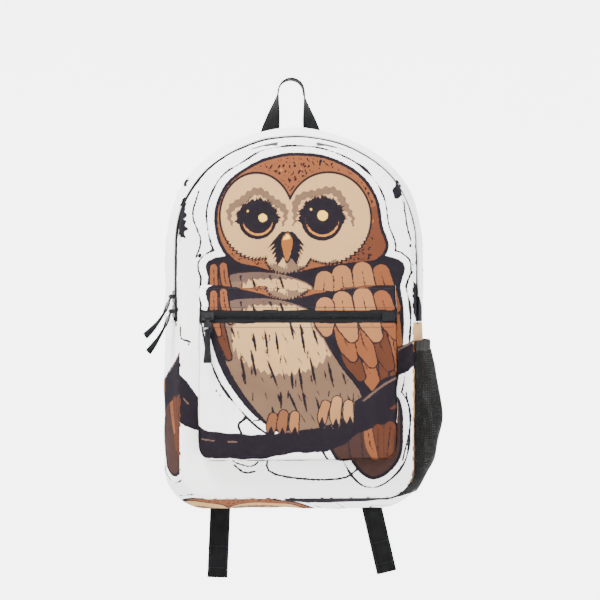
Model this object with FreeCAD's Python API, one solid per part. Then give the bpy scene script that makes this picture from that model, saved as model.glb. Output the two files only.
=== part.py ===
"""Printed cloth backpack, stored hanging by its haul loop.

Frame: the origin is the underside of the haul loop's top, where a hook bears. +Z is up, the front with its
pocket faces -Y, and the wearer's back is at +Y. Millimetres.

The bag is a domed outline swept from front to back. The outline is inset at the front and at the back, so
the side band swells between its two seams. Each sewn piece is a solid of its own, and neighbours meet face
to face.
"""

import FreeCAD, Part
import math
import os
from FreeCAD import Placement, Rotation, Vector

# ---- driving dimensions
loopRise = 70.0  # top of the bag below the hook's bearing point
bagHeight = 450.0
bagHalfWidth = 153.0
domeRadius = 175.0  # flat arc over the middle of the top
shoulderRadius = 131.0
cornerRadius = 52.0
domeHalfAngle = math.radians(30.0)  # where the top arc meets the shoulder arcs

frontY = -130.0  # seam of the front panel
backY = 0.0  # outer face of the back panel
frontInset = 18.0
backInset = 8.0
flatFrontY = -80.0  # between these two the outline is at its full size
flatBackY = -36.0
wall = 2.0  # cloth with its foam interlining
pipingSize = 4.0
pipingReach = 3.0  # how far the covered cord stands out of the seam
pipingSoftening = 1.1

zipFrontY = -122.0  # zip slot in the dome, close behind the front seam
zipBackY = -110.0
zipEndDrop = 228.0  # the zip ends this far below the bag's top
tapeDepth = 0.6  # tape below the cloth's outer face
tapeThick = 1.0
coilHalfWidth = 2.7
coilHeight = 1.5

foamThick = 8.0
liningGap = 0.2
liningThick = 0.8
sleeveHalfWidth = 112.0
sleeveTopDrop = 190.0
sleeveBottomDrop = 424.0
sleeveDepth = 16.0
sleeveWall = 3.0
sleeveTabWidth = 38.0
sleeveTabThick = 1.6

pocketHalfWidth = 113.0
pocketTopDrop = 186.0
pocketBottomDrop = 385.0
pocketDepth = 20.0
pocketCorner = 14.0
pocketZipTopDrop = 215.0
pocketZipHeight = 14.0
zipEndTab = 15.0  # cloth tab over the pocket zip's right end
pocketZipLean = 3.0  # the zip's top edge is this far behind the panel's face

meshTopDrop = 250.0
meshFrontY = -126.0
meshBackY = -9.0
meshSwell = ((0, 8.0), (30, 16.0), (65, 21.0), (95, 24.0), (121, 21.6), (140, 16.0), (159, 8.0))  # drop, swell
meshFootDrop = 182.0  # below the pocket's mouth
meshWall = 1.2
meshRoot = 93.0  # the pocket's plan is drawn from this far out, then cut away where the bag is
elasticHeight = 12.0

pullLean = 23.0  # degrees that the main pulls stand off the bag's side
sliderClear = 0.3  # under the slider's rails, and over the coil
sliderWing = 1.4  # thickness of its upper wing
sliderRail = 1.3  # width of each rail
bridgeRise = 3.0  # pull bar above the wing
bridgeHalf = 3.4
bridgeCheek = 1.2
postRadius = 1.6
postNeck = 1.3  # middle of the post's neck above the wing
postHeadRadius = 2.9
postHeadThick = 0.8
lowerSliderRise = 12.0  # slider centres above the zip's end
upperSliderRise = 29.0
sliderLength = 14.0
sliderHalfWidth = 4.9
pullBarRadius = 1.0
tabLength = 19.0
tabHalfWidth = 4.6
tabThick = 1.8
tabNeckHalf = 1.9
tabShoulder = 7.0  # the blade starts this far below the eye
tabSlotDepth = 5.6  # slot at the foot for the ribbon
barEyeRadius = 2.6
postEyeRadius = 4.0
eyeClear = 0.3
ribbonBarRadius = 0.8
ribbonBarRise = 2.0  # above the tab's foot
ribbonLoopRadius = 2.0
ribbonLength = 36.0
ribbonEndHalf = 4.8
ribbonThick = 1.8

webWidth = 25.0
webThick = 1.5
loopHalfSpread = 31.0  # leg centres of the haul loop
loopHingeClear = 2.0  # free gap under the loop's legs
loopY = 0.0
loopFootDrop = 20.0  # the legs are drawn this far into the bag, then cut clear of it
hookRadius = 15.0  # bend of the loop over a hook

yokeHalfWidth = 78.0
yokeHeight = 20.0
strapTopX = 46.0
strapEndX = 84.0
strapTopDrop = 52.0
strapLength = 300.0
strapTopWidth = 58.0
strapEndWidth = 46.0
strapThick = 9.0
strapBow = 13.0  # how far the pad stands off the back panel at its middle
strapTopGap = 2.2
strapEndGap = 4.0
strapSweep = 5.0  # how far the pad's middle curves outwards
strapEndRound = 10.0
lockLength = 26.0
lockHalfWidth = 17.0
lockThick = 4.0
lockBarRadius = 1.5
tailLength = 166.0
tailFold = 50.0
tailLean = {"left": 2.4, "right": -12.9}  # degrees about +Y, as each tail hangs
anchorX = 124.0
anchorDrop = 430.0
anchorThick = 2.0
anchorCorners = ((-24, 14), (3, 20), (4, -2), (-14, -8))  # from the anchor's middle
lockBarDrop = 9.0  # ladder lock's upper bar below the strap
lockUpperSlot = (-7.6, 2.0)  # about the upper bar
lockLowerSlot = (-22.6, -10.8)
lockCorner = 4.0
lockLip = (0.6, 2.4, 2.2)  # grip ledge: from, to, and how far it stands out
hangGap = 2.6  # tail behind the lock's face
hangRise = 4.5  # tail hinge above the lock's foot

bagTop = -loopRise
bagBottom = bagTop - bagHeight
zipEndZ = bagTop - zipEndDrop
big = 1000.0


# ---- shapes shared by many pieces
def box(x0, x1, y0, y1, z0, z1):
    """Axis-aligned block between two corners."""
    return Part.makeBox(x1 - x0, y1 - y0, z1 - z0, Vector(x0, y0, z0))


def above(z):
    return box(-big, big, -big, big, z, big)


def below(z):
    return box(-big, big, -big, big, -big * 2, z)


def mirrored(shape):
    """The same piece on the other side of the bag."""
    return shape.mirror(Vector(0, 0, 0), Vector(1, 0, 0))


def insetAt(y):
    """How far the outline is drawn in at a depth y: it swells from both seams to the flat middle."""
    if y < flatFrontY:
        return frontInset * (flatFrontY - y) / (flatFrontY - frontY)
    if y > flatBackY:
        return backInset * (y - flatBackY) / (backY - flatBackY)
    return 0.0


def outline(inset, y):
    """Closed dome outline at depth y: top arc, shoulder arcs, straight sides, round bottom corners."""
    top = domeRadius - inset
    shoulder = shoulderRadius - inset
    corner = cornerRadius - inset
    side = bagHalfWidth - inset
    domeZ = bagTop - domeRadius
    gap = domeRadius - shoulderRadius
    shoulderX = gap * math.sin(domeHalfAngle)
    shoulderZ = domeZ + gap * math.cos(domeHalfAngle)
    cornerX = bagHalfWidth - cornerRadius
    cornerZ = bagBottom + cornerRadius
    floor = bagBottom + inset

    def at(x, z):
        return Vector(x, y, z)

    def polar(cx, cz, r, angle):
        return at(cx + r * math.sin(angle), cz + r * math.cos(angle))

    half = domeHalfAngle
    midShoulder = (half + math.pi / 2) / 2
    a = polar(0, domeZ, top, half)
    mirrorA = at(-a.x, a.z)
    shoulderMid = polar(shoulderX, shoulderZ, shoulder, midShoulder)
    cornerMid = polar(cornerX, cornerZ, corner, 0.75 * math.pi)
    edges = [
        Part.Arc(mirrorA, at(0, domeZ + top), a).toShape(),
        Part.Arc(a, shoulderMid, at(side, shoulderZ)).toShape(),
        Part.makeLine(at(side, shoulderZ), at(side, cornerZ)),
        Part.Arc(at(side, cornerZ), cornerMid, at(cornerX, floor)).toShape(),
        Part.makeLine(at(cornerX, floor), at(-cornerX, floor)),
        Part.Arc(at(-cornerX, floor), at(-cornerMid.x, cornerMid.z), at(-side, cornerZ)).toShape(),
        Part.makeLine(at(-side, cornerZ), at(-side, shoulderZ)),
        Part.Arc(at(-side, shoulderZ), at(-shoulderMid.x, shoulderMid.z), mirrorA).toShape(),
    ]
    return Part.Wire(edges)


def core(extra, ys):
    """Solid of the bag's outline through the depths ys, drawn in by extra."""
    wires = [outline(insetAt(y) + extra, y) for y in ys]
    return Part.makeLoft(wires, True, True)


def band(outer, inner, ys):
    """Hollow band between two insets, through the depths ys."""
    return core(outer, ys).cut(core(inner, ys))


def plate(inset, y0, y1):
    """Flat panel of the outline's shape."""
    return Part.Face(outline(inset, y0)).extrude(Vector(0, y1 - y0, 0))


def roundedPlate(halfWidth, z0, z1, y0, y1, radius):
    """Upright plate with its vertical corners in the XZ plane rounded."""
    solid = box(-halfWidth, halfWidth, y0, y1, z0, z1)
    edges = [
        e
        for e in solid.Edges
        if abs(e.Vertexes[0].X - e.Vertexes[1].X) < 1e-6 and abs(e.Vertexes[0].Z - e.Vertexes[1].Z) < 1e-6
    ]
    return solid.makeFillet(radius, edges)


def strip(points, width, thick):
    """Flat webbing through points in the YZ plane: width runs along X, thickness across the path."""
    left = []
    right = []
    for i, p in enumerate(points):
        before = points[max(i - 1, 0)]
        after = points[min(i + 1, len(points) - 1)]
        along = Vector(0, after[0] - before[0], after[1] - before[1])
        along.normalize()
        across = Vector(0, along.z, -along.y) * (thick / 2)
        here = Vector(0, p[0], p[1])
        left.append(here + across)
        right.append(here - across)
    ring = left + right[::-1]
    wire = Part.makePolygon(ring + [ring[0]])
    solid = Part.Face(wire).extrude(Vector(width, 0, 0))
    solid.translate(Vector(-width / 2, 0, 0))
    return solid


parts = {}


# ---- bag body
def bagShell():
    """Front panel, zip gusset halves, side and bottom gusset, back panel and its piped seam."""
    middle = [flatFrontY, flatBackY]
    bandBack = backY - wall
    whole = band(0, wall, [frontY] + middle + [bandBack])
    parts["side_bottom_gusset"] = whole.common(below(zipEndZ))
    frontStrip = band(0, wall, [frontY, zipFrontY])
    parts["zip_gusset_front"] = frontStrip.common(above(zipEndZ))
    rearStrip = band(0, wall, [zipBackY] + middle + [bandBack])
    parts["zip_gusset_rear"] = rearStrip.common(above(zipEndZ))

    parts["front_panel"] = plate(frontInset, frontY - wall, frontY)
    rearInset = insetAt(bandBack)
    rearRim = rearInset + 1.0
    parts["back_panel"] = plate(rearRim, bandBack, backY)
    parts["rear_piping"] = pipingRing(rearInset - pipingReach, rearRim, bandBack)


def pipingRing(outerInset, innerInset, y0):
    """Covered cord along a seam, with its two outer edges taken off."""
    cut = pipingSoftening
    insets = [outerInset + cut, outerInset, outerInset, outerInset + cut]
    depths = [y0, y0 + cut, y0 + pipingSize - cut, y0 + pipingSize]
    wires = [outline(inset, y) for inset, y in zip(insets, depths)]
    return Part.makeLoft(wires, True, True).cut(plate(innerInset, y0, y0 + pipingSize))


def mainZip():
    """Tapes and coil of the two-way zip over the dome."""
    slot = [zipFrontY, zipBackY]
    tape = band(tapeDepth, tapeDepth + tapeThick, slot)
    parts["main_zip_tape"] = tape.common(above(zipEndZ))
    centre = (zipFrontY + zipBackY) / 2
    coil = band(tapeDepth - coilHeight, tapeDepth, [centre - coilHalfWidth, centre + coilHalfWidth])
    parts["main_zip_coil"] = coil.common(above(zipEndZ + 3.0))


def interior():
    """Foam pad of the back, the lining, and the laptop sleeve with its bound edge and tab."""
    foamBack = backY - wall
    foamFront = foamBack - foamThick
    parts["back_foam"] = plate(insetAt(foamBack) + wall + 1.5, foamFront, foamBack)

    gap = wall + liningGap
    ys = [frontY, flatFrontY, flatBackY, foamFront - liningThick]
    bag = band(gap, gap + liningThick, ys)
    slot = box(-big, big, zipFrontY + 1, zipBackY - 1, zipEndZ, big)
    rearSheet = plate(insetAt(foamFront) + gap, foamFront - liningThick, foamFront)
    frontSheet = plate(frontInset + gap, frontY + liningGap, frontY + liningGap + liningThick)
    parts["lining"] = bag.cut(slot).fuse(rearSheet).fuse(frontSheet).removeSplitter()

    back = foamFront - liningThick
    front = back - sleeveDepth
    z0 = bagTop - sleeveBottomDrop
    z1 = bagTop - sleeveTopDrop
    outer = box(-sleeveHalfWidth, sleeveHalfWidth, front, back, z0, z1)
    inner = box(
        -sleeveHalfWidth + sleeveWall,
        sleeveHalfWidth - sleeveWall,
        front + sleeveWall,
        back,
        z0 + sleeveWall,
        z1,
    )
    parts["laptop_sleeve"] = outer.cut(inner)
    binding = box(-sleeveHalfWidth, sleeveHalfWidth, front - 0.8, front + sleeveWall + 0.8, z1, z1 + 1.2)
    parts["sleeve_binding"] = binding
    tabPath = [
        (back - 1.0, z1 + 42),
        (back - 1.4, z1 + 22),
        (front + 1.5, z1 + 6),
        (front - 2.0, z1 + 2),
        (front - 2.2, z1 - 30),
    ]
    parts["sleeve_tab"] = strip(tabPath, sleeveTabWidth, sleeveTabThick)


def frontPocket():
    """Zipped patch pocket with a sloping top strip and a gusset round its sides and bottom."""
    base = frontY - wall
    face = base - pocketDepth
    z0 = bagTop - pocketBottomDrop
    z1 = bagTop - pocketTopDrop
    zipTop = bagTop - pocketZipTopDrop
    zipBottom = zipTop - pocketZipHeight

    def profile(grow):
        """Side view of the pocket, taken in by grow."""
        ring = [
            Vector(-big / 2, base, z1 - 1.6 * grow),
            Vector(-big / 2, face + pocketZipLean + grow, zipTop - 0.4 * grow),
            Vector(-big / 2, face + grow, zipBottom),
            Vector(-big / 2, face + grow, z0 + grow),
            Vector(-big / 2, base, z0 + grow),
        ]
        return Part.Face(Part.makePolygon(ring + [ring[0]])).extrude(Vector(big, 0, 0))

    outerPlan = roundedPlate(pocketHalfWidth, z0, z1 + 20, face, base, pocketCorner)
    innerPlan = roundedPlate(
        pocketHalfWidth - wall, z0 + wall, z1 + 18, face, base, pocketCorner - wall
    )
    outer = outerPlan.common(profile(0))
    inner = innerPlan.common(profile(wall))
    shell = outer.cut(inner)
    parts["pocket_gusset"] = shell.cut(innerPlan)
    front = shell.common(innerPlan)
    parts["pocket_top_strip"] = front.common(above(zipTop))
    parts["pocket_panel"] = front.common(below(zipBottom))
    zipZone = front.common(below(zipTop)).common(above(zipBottom))
    recess = profile(0.8)
    parts["pocket_zip_tape"] = zipZone.common(recess)

    lean = math.atan2(pocketZipLean, pocketZipHeight)
    mid = Vector(0, face + pocketZipLean / 2 + 0.8, (zipTop + zipBottom) / 2)
    turn = Rotation(Vector(1, 0, 0), -math.degrees(lean))
    reach = pocketHalfWidth - wall

    def onZip(x0, x1, w0, w1, v0, v1):
        """Block on the zip: w is out of the tape, v is across it."""
        block = box(x0, x1, -w1, -w0, v0, v1)
        block.Placement = Placement(mid, turn)
        return block

    coilEnd = reach - zipEndTab - 0.4
    half = pocketZipHeight / 2 - 1.5
    parts["pocket_zip_coil"] = onZip(-reach + 0.5, coilEnd, 0, coilHeight, -coilHalfWidth, coilHalfWidth)
    parts["pocket_zip_end"] = onZip(reach - zipEndTab, reach, 0, coilHeight + 0.6, -half, half)
    return mid, turn, reach


def slider(carrier):
    """Zip slider in its own axes: u (X) along the zip, v (Y) across it, w (Z) out of the cloth.

    w = 0 is the coil's base. The wings stay clear of the coil. The carrier holds the pull: a "bridge" with its
    bar along v, or a "swivel" post along w. Returns the shape and the height of the bar or of the post's neck.
    """
    wingLow = coilHeight + sliderClear
    wingHigh = wingLow + sliderWing
    halfLength = sliderLength / 2
    wing = box(-halfLength, halfLength, -sliderHalfWidth, sliderHalfWidth, wingLow, wingHigh)
    uprights = [e for e in wing.Edges if abs(e.Vertexes[0].Z - e.Vertexes[1].Z) > 1e-6]
    body = wing.makeFillet(2.0, uprights)
    for side in (-1, 1):
        v0, v1 = sorted((side * (sliderHalfWidth - sliderRail), side * sliderHalfWidth))
        body = body.fuse(box(-halfLength + 2, halfLength - 2, v0, v1, sliderClear, wingLow))
    if carrier == "bridge":
        height = wingHigh + bridgeRise
        foot = Vector(0, -bridgeHalf, height)
        body = body.fuse(Part.makeCylinder(pullBarRadius, 2 * bridgeHalf, foot, Vector(0, 1, 0)))
        for side in (-1, 1):
            v0, v1 = sorted((side * (bridgeHalf - bridgeCheek), side * bridgeHalf))
            body = body.fuse(box(-2.2, 2.2, v0, v1, wingHigh, height + pullBarRadius))
    else:
        height = wingHigh + postNeck
        headLow = wingHigh + 2 * postNeck
        out = Vector(0, 0, 1)
        body = body.fuse(Part.makeCylinder(postRadius, 2 * postNeck, Vector(0, 0, wingHigh), out))
        body = body.fuse(Part.makeCylinder(postHeadRadius, postHeadThick, Vector(0, 0, headLow), out))
    return body.removeSplitter(), height


def pullTab(eye):
    """Flat metal pull that hangs down -Z, its faces towards +X and -X, with a bar at its foot for the ribbon.

    eye "bar" fits round a bar along Y at the origin; eye "post" fits round a post along X.
    """
    half = tabHalfWidth
    blade = box(-tabThick / 2, tabThick / 2, -half, half, -tabLength, -tabShoulder)
    corners = [e for e in blade.Edges if abs(e.Vertexes[0].X - e.Vertexes[1].X) > 1e-6]
    blade = blade.makeFillet(1.6, corners)
    neck = box(-tabThick / 2, tabThick / 2, -tabNeckHalf, tabNeckHalf, -tabShoulder - 2, 0)
    if eye == "bar":
        across = Vector(0, 1, 0)
        ring = Part.makeCylinder(barEyeRadius, 2 * tabNeckHalf, across * -tabNeckHalf, across)
        hole = Part.makeCylinder(pullBarRadius + eyeClear, 2 * tabLength, across * -tabLength, across)
    else:
        across = Vector(1, 0, 0)
        ring = Part.makeCylinder(postEyeRadius, tabThick, across * (-tabThick / 2), across)
        hole = Part.makeCylinder(postRadius + eyeClear, 2 * tabLength, across * -tabLength, across)
    slotHalf = half - 1.2
    slot = box(-tabThick, tabThick, -slotHalf, slotHalf, -tabLength - 1, -tabLength + tabSlotDepth)
    barStart = Vector(0, -half + 0.5, -tabLength + ribbonBarRise)
    bar = Part.makeCylinder(ribbonBarRadius, 2 * half - 1, barStart, Vector(0, 1, 0))
    return ring.fuse(neck).fuse(blade).cut(slot).cut(hole).fuse(bar).removeSplitter()


def ribbon():
    """Stitched pull ribbon: a loop round the tab's foot bar, then a flat tail a little wider at its end."""
    half = tabHalfWidth - 1.5
    top = -tabLength + ribbonBarRise
    end = top - ribbonLength
    flare = top - ribbonLength * 0.55  # the ribbon widens below here
    loop = Part.makeCylinder(ribbonLoopRadius, 2 * half, Vector(0, -half, top), Vector(0, 1, 0))
    ring = [
        Vector(0, -half, top),
        Vector(0, half, top),
        Vector(0, half, flare),
        Vector(0, ribbonEndHalf, end),
        Vector(0, -ribbonEndHalf, end),
        Vector(0, -half, flare),
    ]
    flat = Part.Face(Part.makePolygon(ring + [ring[0]])).extrude(Vector(ribbonThick, 0, 0))
    flat.translate(Vector(-ribbonThick / 2, 0, 0))
    holeStart = Vector(0, -tabLength, top)
    hole = Part.makeCylinder(ribbonBarRadius + eyeClear, 2 * tabLength, holeStart, Vector(0, 1, 0))
    return loop.fuse(flat).cut(hole).removeSplitter()


def framed(shape, xTo, yTo, zTo, origin):
    """The shape with its own X, Y and Z axes laid along three directions, and its origin at a point."""
    matrix = FreeCAD.Matrix(
        xTo.x, yTo.x, zTo.x, origin.x,
        xTo.y, yTo.y, zTo.y, origin.y,
        xTo.z, yTo.z, zTo.z, origin.z,
        0, 0, 0, 1,
    )
    moved = shape.copy()
    moved.Placement = Placement(matrix)
    return moved


# ---- sliders and pulls
def mainSliders():
    """Two sliders at the left end of the main zip, each with a pull that leans out of the side."""
    slope = frontInset / (flatFrontY - frontY)
    tangent = Vector(-slope, 1, 0)
    tangent.normalize()
    normal = Vector(-tangent.y, tangent.x, 0)
    up = Vector(0, 0, 1)
    centreY = (zipFrontY + zipBackY) / 2
    side = bagHalfWidth - insetAt(centreY) - tapeDepth
    for name, rise in (("lower", lowerSliderRise), ("upper", upperSliderRise)):
        base = Vector(-side, centreY, zipEndZ + rise)
        body, barHeight = slider("bridge")
        parts["main_slider_" + name] = framed(body, up, tangent, normal, base)
        pivot = base + normal * barHeight
        lean = math.radians(pullLean)
        down = up * -math.cos(lean) + normal * math.sin(lean)
        out = normal * math.cos(lean) + up * math.sin(lean)
        parts["pull_tab_" + name] = framed(pullTab("bar"), out, tangent * -1, down * -1, pivot)
        parts["pull_ribbon_" + name] = framed(ribbon(), out, tangent * -1, down * -1, pivot)
        print("main pull", name, "pivot", [round(v / 1000, 6) for v in pivot], "axis", tangent)


def pocketSlider(mid, turn, reach):
    """Pocket slider at the left end; its tab swings in the cloth's plane and its ribbon lifts off it."""
    out = turn.multVec(Vector(0, -1, 0))
    across = turn.multVec(Vector(0, 0, 1))
    along = Vector(1, 0, 0)
    base = mid + Vector(-reach + sliderLength / 2 + 1.0, 0, 0)
    body, neckHeight = slider("swivel")
    parts["pocket_slider"] = framed(body, along, across, out, base)
    pivot = base + out * neckHeight
    parts["pocket_pull_tab"] = framed(pullTab("post"), out, along, across, pivot)
    parts["pocket_pull_ribbon"] = framed(ribbon(), out, along, across, pivot)
    foot = pivot + across * (-tabLength + ribbonBarRise)
    print("pocket pull pivot", [round(v / 1000, 6) for v in pivot], "axis", out)
    print("pocket ribbon pivot", [round(v / 1000, 6) for v in foot])


# ---- mesh side pockets
def halfWidthAt(y, z):
    """Half width of the bag at depth y and height z, round its bottom corners too."""
    inset = insetAt(y)
    intoCorner = bagBottom + cornerRadius - z
    if intoCorner <= 0:
        return bagHalfWidth - inset
    return bagHalfWidth - cornerRadius + math.sqrt((cornerRadius - inset) ** 2 - intoCorner**2)


def meshPocket():
    """Open-topped mesh pocket on the right: it swells from both seams and draws in round the bag's corner."""
    middleY = (meshFrontY + meshBackY) / 2

    def arch(z, bulge, grow):
        """Plan of the pocket at height z: from the front seam out over the swell and back to the rear seam."""
        front = Vector(halfWidthAt(meshFrontY, z) + meshWall, meshFrontY + grow, z)
        rear = Vector(halfWidthAt(meshBackY, z) + meshWall, meshBackY - grow, z)
        swell = Vector(halfWidthAt(middleY, z) + bulge - grow, middleY, z)
        edges = [
            Part.Arc(front, swell, rear).toShape(),
            Part.makeLine(rear, Vector(meshRoot, rear.y, z)),
            Part.makeLine(Vector(meshRoot, rear.y, z), Vector(meshRoot, front.y, z)),
            Part.makeLine(Vector(meshRoot, front.y, z), front),
        ]
        return Part.Wire(edges)

    top = bagTop - meshTopDrop
    foot = top - meshFootDrop
    floor = foot + 2.0
    levels = [(top - drop, swell) for drop, swell in meshSwell]
    outer = Part.makeLoft([arch(z, b, 0) for z, b in levels + [(foot, 2 * meshWall)]], True, True)
    hollow = Part.makeLoft([arch(z, b, meshWall) for z, b in levels + [(floor, 2 * meshWall)]], True, True)
    bag = core(0, [frontY, flatFrontY, flatBackY, backY - wall])
    shell = outer.cut(hollow).cut(bag)
    rim = top - elasticHeight
    parts["mesh_pocket"] = shell.common(below(rim))
    parts["mesh_elastic"] = shell.common(above(rim))


# ---- webbing and straps
def haulLoop():
    """Webbing loop: flat to the bag at its feet, and turned a quarter so that it lies flat on a hook."""
    bendRadius = hookRadius + webThick / 2
    footZ = bagTop - loopFootDrop
    bendZ = -hookRadius
    legSteps = 6
    arcSteps = 8

    def section(centre, widthDir, thickDir):
        w = widthDir * (webWidth / 2)
        t = thickDir * (webThick / 2)
        ring = [centre - w - t, centre + w - t, centre + w + t, centre - w + t]
        return Part.makePolygon(ring + [ring[0]])

    def leg(side, share):
        """Section of one leg: share runs from its foot (0) to the bend (1)."""
        x = side * (loopHalfSpread + (bendRadius - loopHalfSpread) * share)
        turn = math.radians(90.0) * share
        centre = Vector(x, loopY, footZ + (bendZ - footZ) * share)
        widthDir = Vector(side * math.cos(turn), math.sin(turn), 0)
        thickDir = Vector(-math.sin(turn), side * math.cos(turn), 0)
        return section(centre, widthDir, thickDir)

    sections = [leg(1, i / legSteps) for i in range(legSteps + 1)]
    for i in range(1, arcSteps):
        angle = math.pi * i / arcSteps
        inward = Vector(-math.cos(angle), 0, -math.sin(angle))
        centre = Vector(0, loopY, bendZ) - inward * bendRadius
        sections.append(section(centre, Vector(0, 1, 0), inward))
    sections += [leg(-1, i / legSteps) for i in range(legSteps, -1, -1)]
    seam = plate(insetAt(backY - wall) - pipingReach - loopHingeClear, -big, big)
    parts["haul_loop"] = Part.makeLoft(sections, True, True).cut(seam)


def shoulderStraps():
    """Yoke, padded straps, ladder locks, lower webbings and hanging tails on the wearer's side."""
    top = bagTop - strapTopDrop
    end = top - strapLength
    yokeZ = top + 1
    parts["strap_yoke"] = box(-yokeHalfWidth, yokeHalfWidth, backY, backY + webThick, yokeZ, yokeZ + yokeHeight)

    def padSection(share):
        """Cross-section of a pad, from its sewn top (share 0) to its rounded lower end (share 1)."""
        arch = 4 * share * (1 - share)
        centre = strapTopX + (strapEndX - strapTopX) * share + strapSweep * arch
        half = (strapTopWidth + (strapEndWidth - strapTopWidth) * share) / 2
        rounding = max(0.0, 1 - strapLength * (1 - share) / strapEndRound)
        half -= strapEndRound * (1 - math.sqrt(1 - rounding**2))
        inner = strapTopGap + (strapEndGap - strapTopGap) * share + (strapBow - strapTopGap) * arch
        z = top - strapLength * share
        ring = [
            Vector(centre - half, inner, z),
            Vector(centre + half, inner, z),
            Vector(centre + half, inner + strapThick, z),
            Vector(centre - half, inner + strapThick, z),
        ]
        return Part.makePolygon(ring + [ring[0]])

    steps = [i / 10 for i in range(10)]
    steps += [1 - strapEndRound / strapLength * left for left in (1.0, 0.6, 0.25, 0.0)]
    pad = Part.makeLoft([padSection(share) for share in steps], True, True)

    lockY = strapEndGap + strapThick / 2
    barZ = end - lockBarDrop
    right = {"strap_pad": pad}
    loopInner = lockBarRadius + eyeClear
    loopOuter = loopInner + webThick
    webHalf = webWidth / 2
    ring = Part.makeCylinder(loopOuter, webWidth, Vector(-webHalf, lockY, barZ), Vector(1, 0, 0))
    legs = box(-webHalf, webHalf, lockY - loopOuter, lockY + loopOuter, barZ, end)
    hollow = Part.makeCylinder(loopInner, webWidth + 2, Vector(-webHalf - 1, lockY, barZ), Vector(1, 0, 0))
    slit = box(-webHalf - 1, webHalf + 1, lockY - loopInner, lockY + loopInner, barZ, barZ + 4.0)
    lockWeb = ring.fuse(legs).cut(hollow).cut(slit)
    lockWeb.translate(Vector(strapEndX, 0, 0))
    right["lock_webbing"] = lockWeb.cut(pad)

    half = lockHalfWidth
    rail = lockThick / 2
    lock = box(-half, half, lockY - rail, lockY + rail, barZ - lockLength, barZ)
    lowCorners = [
        e
        for e in lock.Edges
        if abs(e.Vertexes[0].Y - e.Vertexes[1].Y) > 1e-6 and e.Vertexes[0].Z < barZ - 1
    ]
    lock = lock.makeFillet(lockCorner, lowCorners)
    slotHalf = webHalf + 1.0
    for z0, z1 in (lockUpperSlot, lockLowerSlot):
        lock = lock.cut(box(-slotHalf, slotHalf, -big, big, barZ + z0, barZ + z1))
    lock = lock.fuse(
        Part.makeCylinder(lockBarRadius, 2 * half, Vector(-half, lockY, barZ), Vector(1, 0, 0))
    )
    lipLow, lipHigh, lipReach = lockLip
    foot = barZ - lockLength
    lip = box(-half + 4, half - 4, lockY, lockY + rail + lipReach, foot + lipLow, foot + lipHigh)
    lock = lock.fuse(lip).removeSplitter()
    lock.translate(Vector(strapEndX, 0, 0))
    right["ladder_lock"] = lock

    lowTop = Vector(strapEndX + 2, lockY - rail - webThick - 0.5, barZ - 12.0)
    lowEnd = Vector(anchorX - 6, 2.3, bagTop - anchorDrop + 12.5)
    along = lowEnd - lowTop
    across = Vector(-along.z, 0, along.x)
    across.normalize()
    across = across * webHalf
    corners = [lowTop - across, lowTop + across, lowEnd + across, lowEnd - across]
    web = Part.Face(Part.makePolygon(corners + [corners[0]])).extrude(Vector(0, webThick, 0))
    right["lower_webbing"] = web

    anchorZ = bagTop - anchorDrop
    corners = [Vector(anchorX + dx, backY, anchorZ + dz) for dx, dz in anchorCorners]
    anchor = Part.Face(Part.makePolygon(corners + [corners[0]]))
    right["anchor_tab"] = anchor.extrude(Vector(0, anchorThick, 0))

    hangY = lockY + rail + hangGap
    hangZ = foot + hangRise
    for side in ("left", "right"):
        for name, shape in right.items():
            parts[f"{name}_{side}"] = shape if side == "right" else mirrored(shape)
        x = strapEndX if side == "right" else -strapEndX
        tail = box(x - webHalf, x + webHalf, hangY, hangY + webThick, hangZ - tailLength, hangZ)
        fold = box(
            x - webHalf, x + webHalf, hangY + webThick, hangY + 2 * webThick,
            hangZ - tailLength, hangZ - tailLength + tailFold,
        )
        tail = tail.fuse(fold).removeSplitter()
        tail.rotate(Vector(x, hangY, hangZ), Vector(0, 1, 0), tailLean[side])
        parts["webbing_tail_" + side] = tail
    print("strap hinge z", top + 1.0, "lock bar", lockY, barZ, "tail hinge", hangY, hangZ)


def build():
    bagShell()
    mainZip()
    interior()
    mid, turn, reach = frontPocket()
    mainSliders()
    pocketSlider(mid, turn, reach)
    meshPocket()
    haulLoop()
    shoulderStraps()


build()
os.makedirs("parts", exist_ok=True)
for name, shape in parts.items():
    solids = shape.Solids
    kept = solids[0] if len(solids) == 1 else Part.makeCompound(solids)
    volume = sum(solid.Volume for solid in solids)
    print(f"{name:24s} solids {len(solids)} valid {shape.isValid()} volume {volume:.0f}")
    kept.exportStep(f"parts/{name}.step")
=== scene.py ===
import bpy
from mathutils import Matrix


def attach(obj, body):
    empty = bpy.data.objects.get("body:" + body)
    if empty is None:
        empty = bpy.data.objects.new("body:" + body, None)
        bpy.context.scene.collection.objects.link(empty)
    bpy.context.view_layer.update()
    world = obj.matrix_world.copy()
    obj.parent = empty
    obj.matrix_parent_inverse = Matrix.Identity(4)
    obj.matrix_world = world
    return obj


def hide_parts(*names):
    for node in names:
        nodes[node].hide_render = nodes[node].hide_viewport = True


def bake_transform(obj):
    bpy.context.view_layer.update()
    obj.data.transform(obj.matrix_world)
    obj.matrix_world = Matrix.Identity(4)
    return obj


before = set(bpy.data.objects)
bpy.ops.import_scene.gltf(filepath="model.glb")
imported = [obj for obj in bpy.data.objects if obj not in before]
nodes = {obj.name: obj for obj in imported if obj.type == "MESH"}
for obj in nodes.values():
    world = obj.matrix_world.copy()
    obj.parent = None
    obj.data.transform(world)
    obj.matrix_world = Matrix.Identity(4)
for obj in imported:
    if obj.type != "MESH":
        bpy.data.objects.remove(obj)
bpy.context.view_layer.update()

import functools
import math

import bmesh
import bpy
import numpy as np

mm = 0.001
print("stage: frame loaded,", len(nodes), "CAD nodes")

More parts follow.
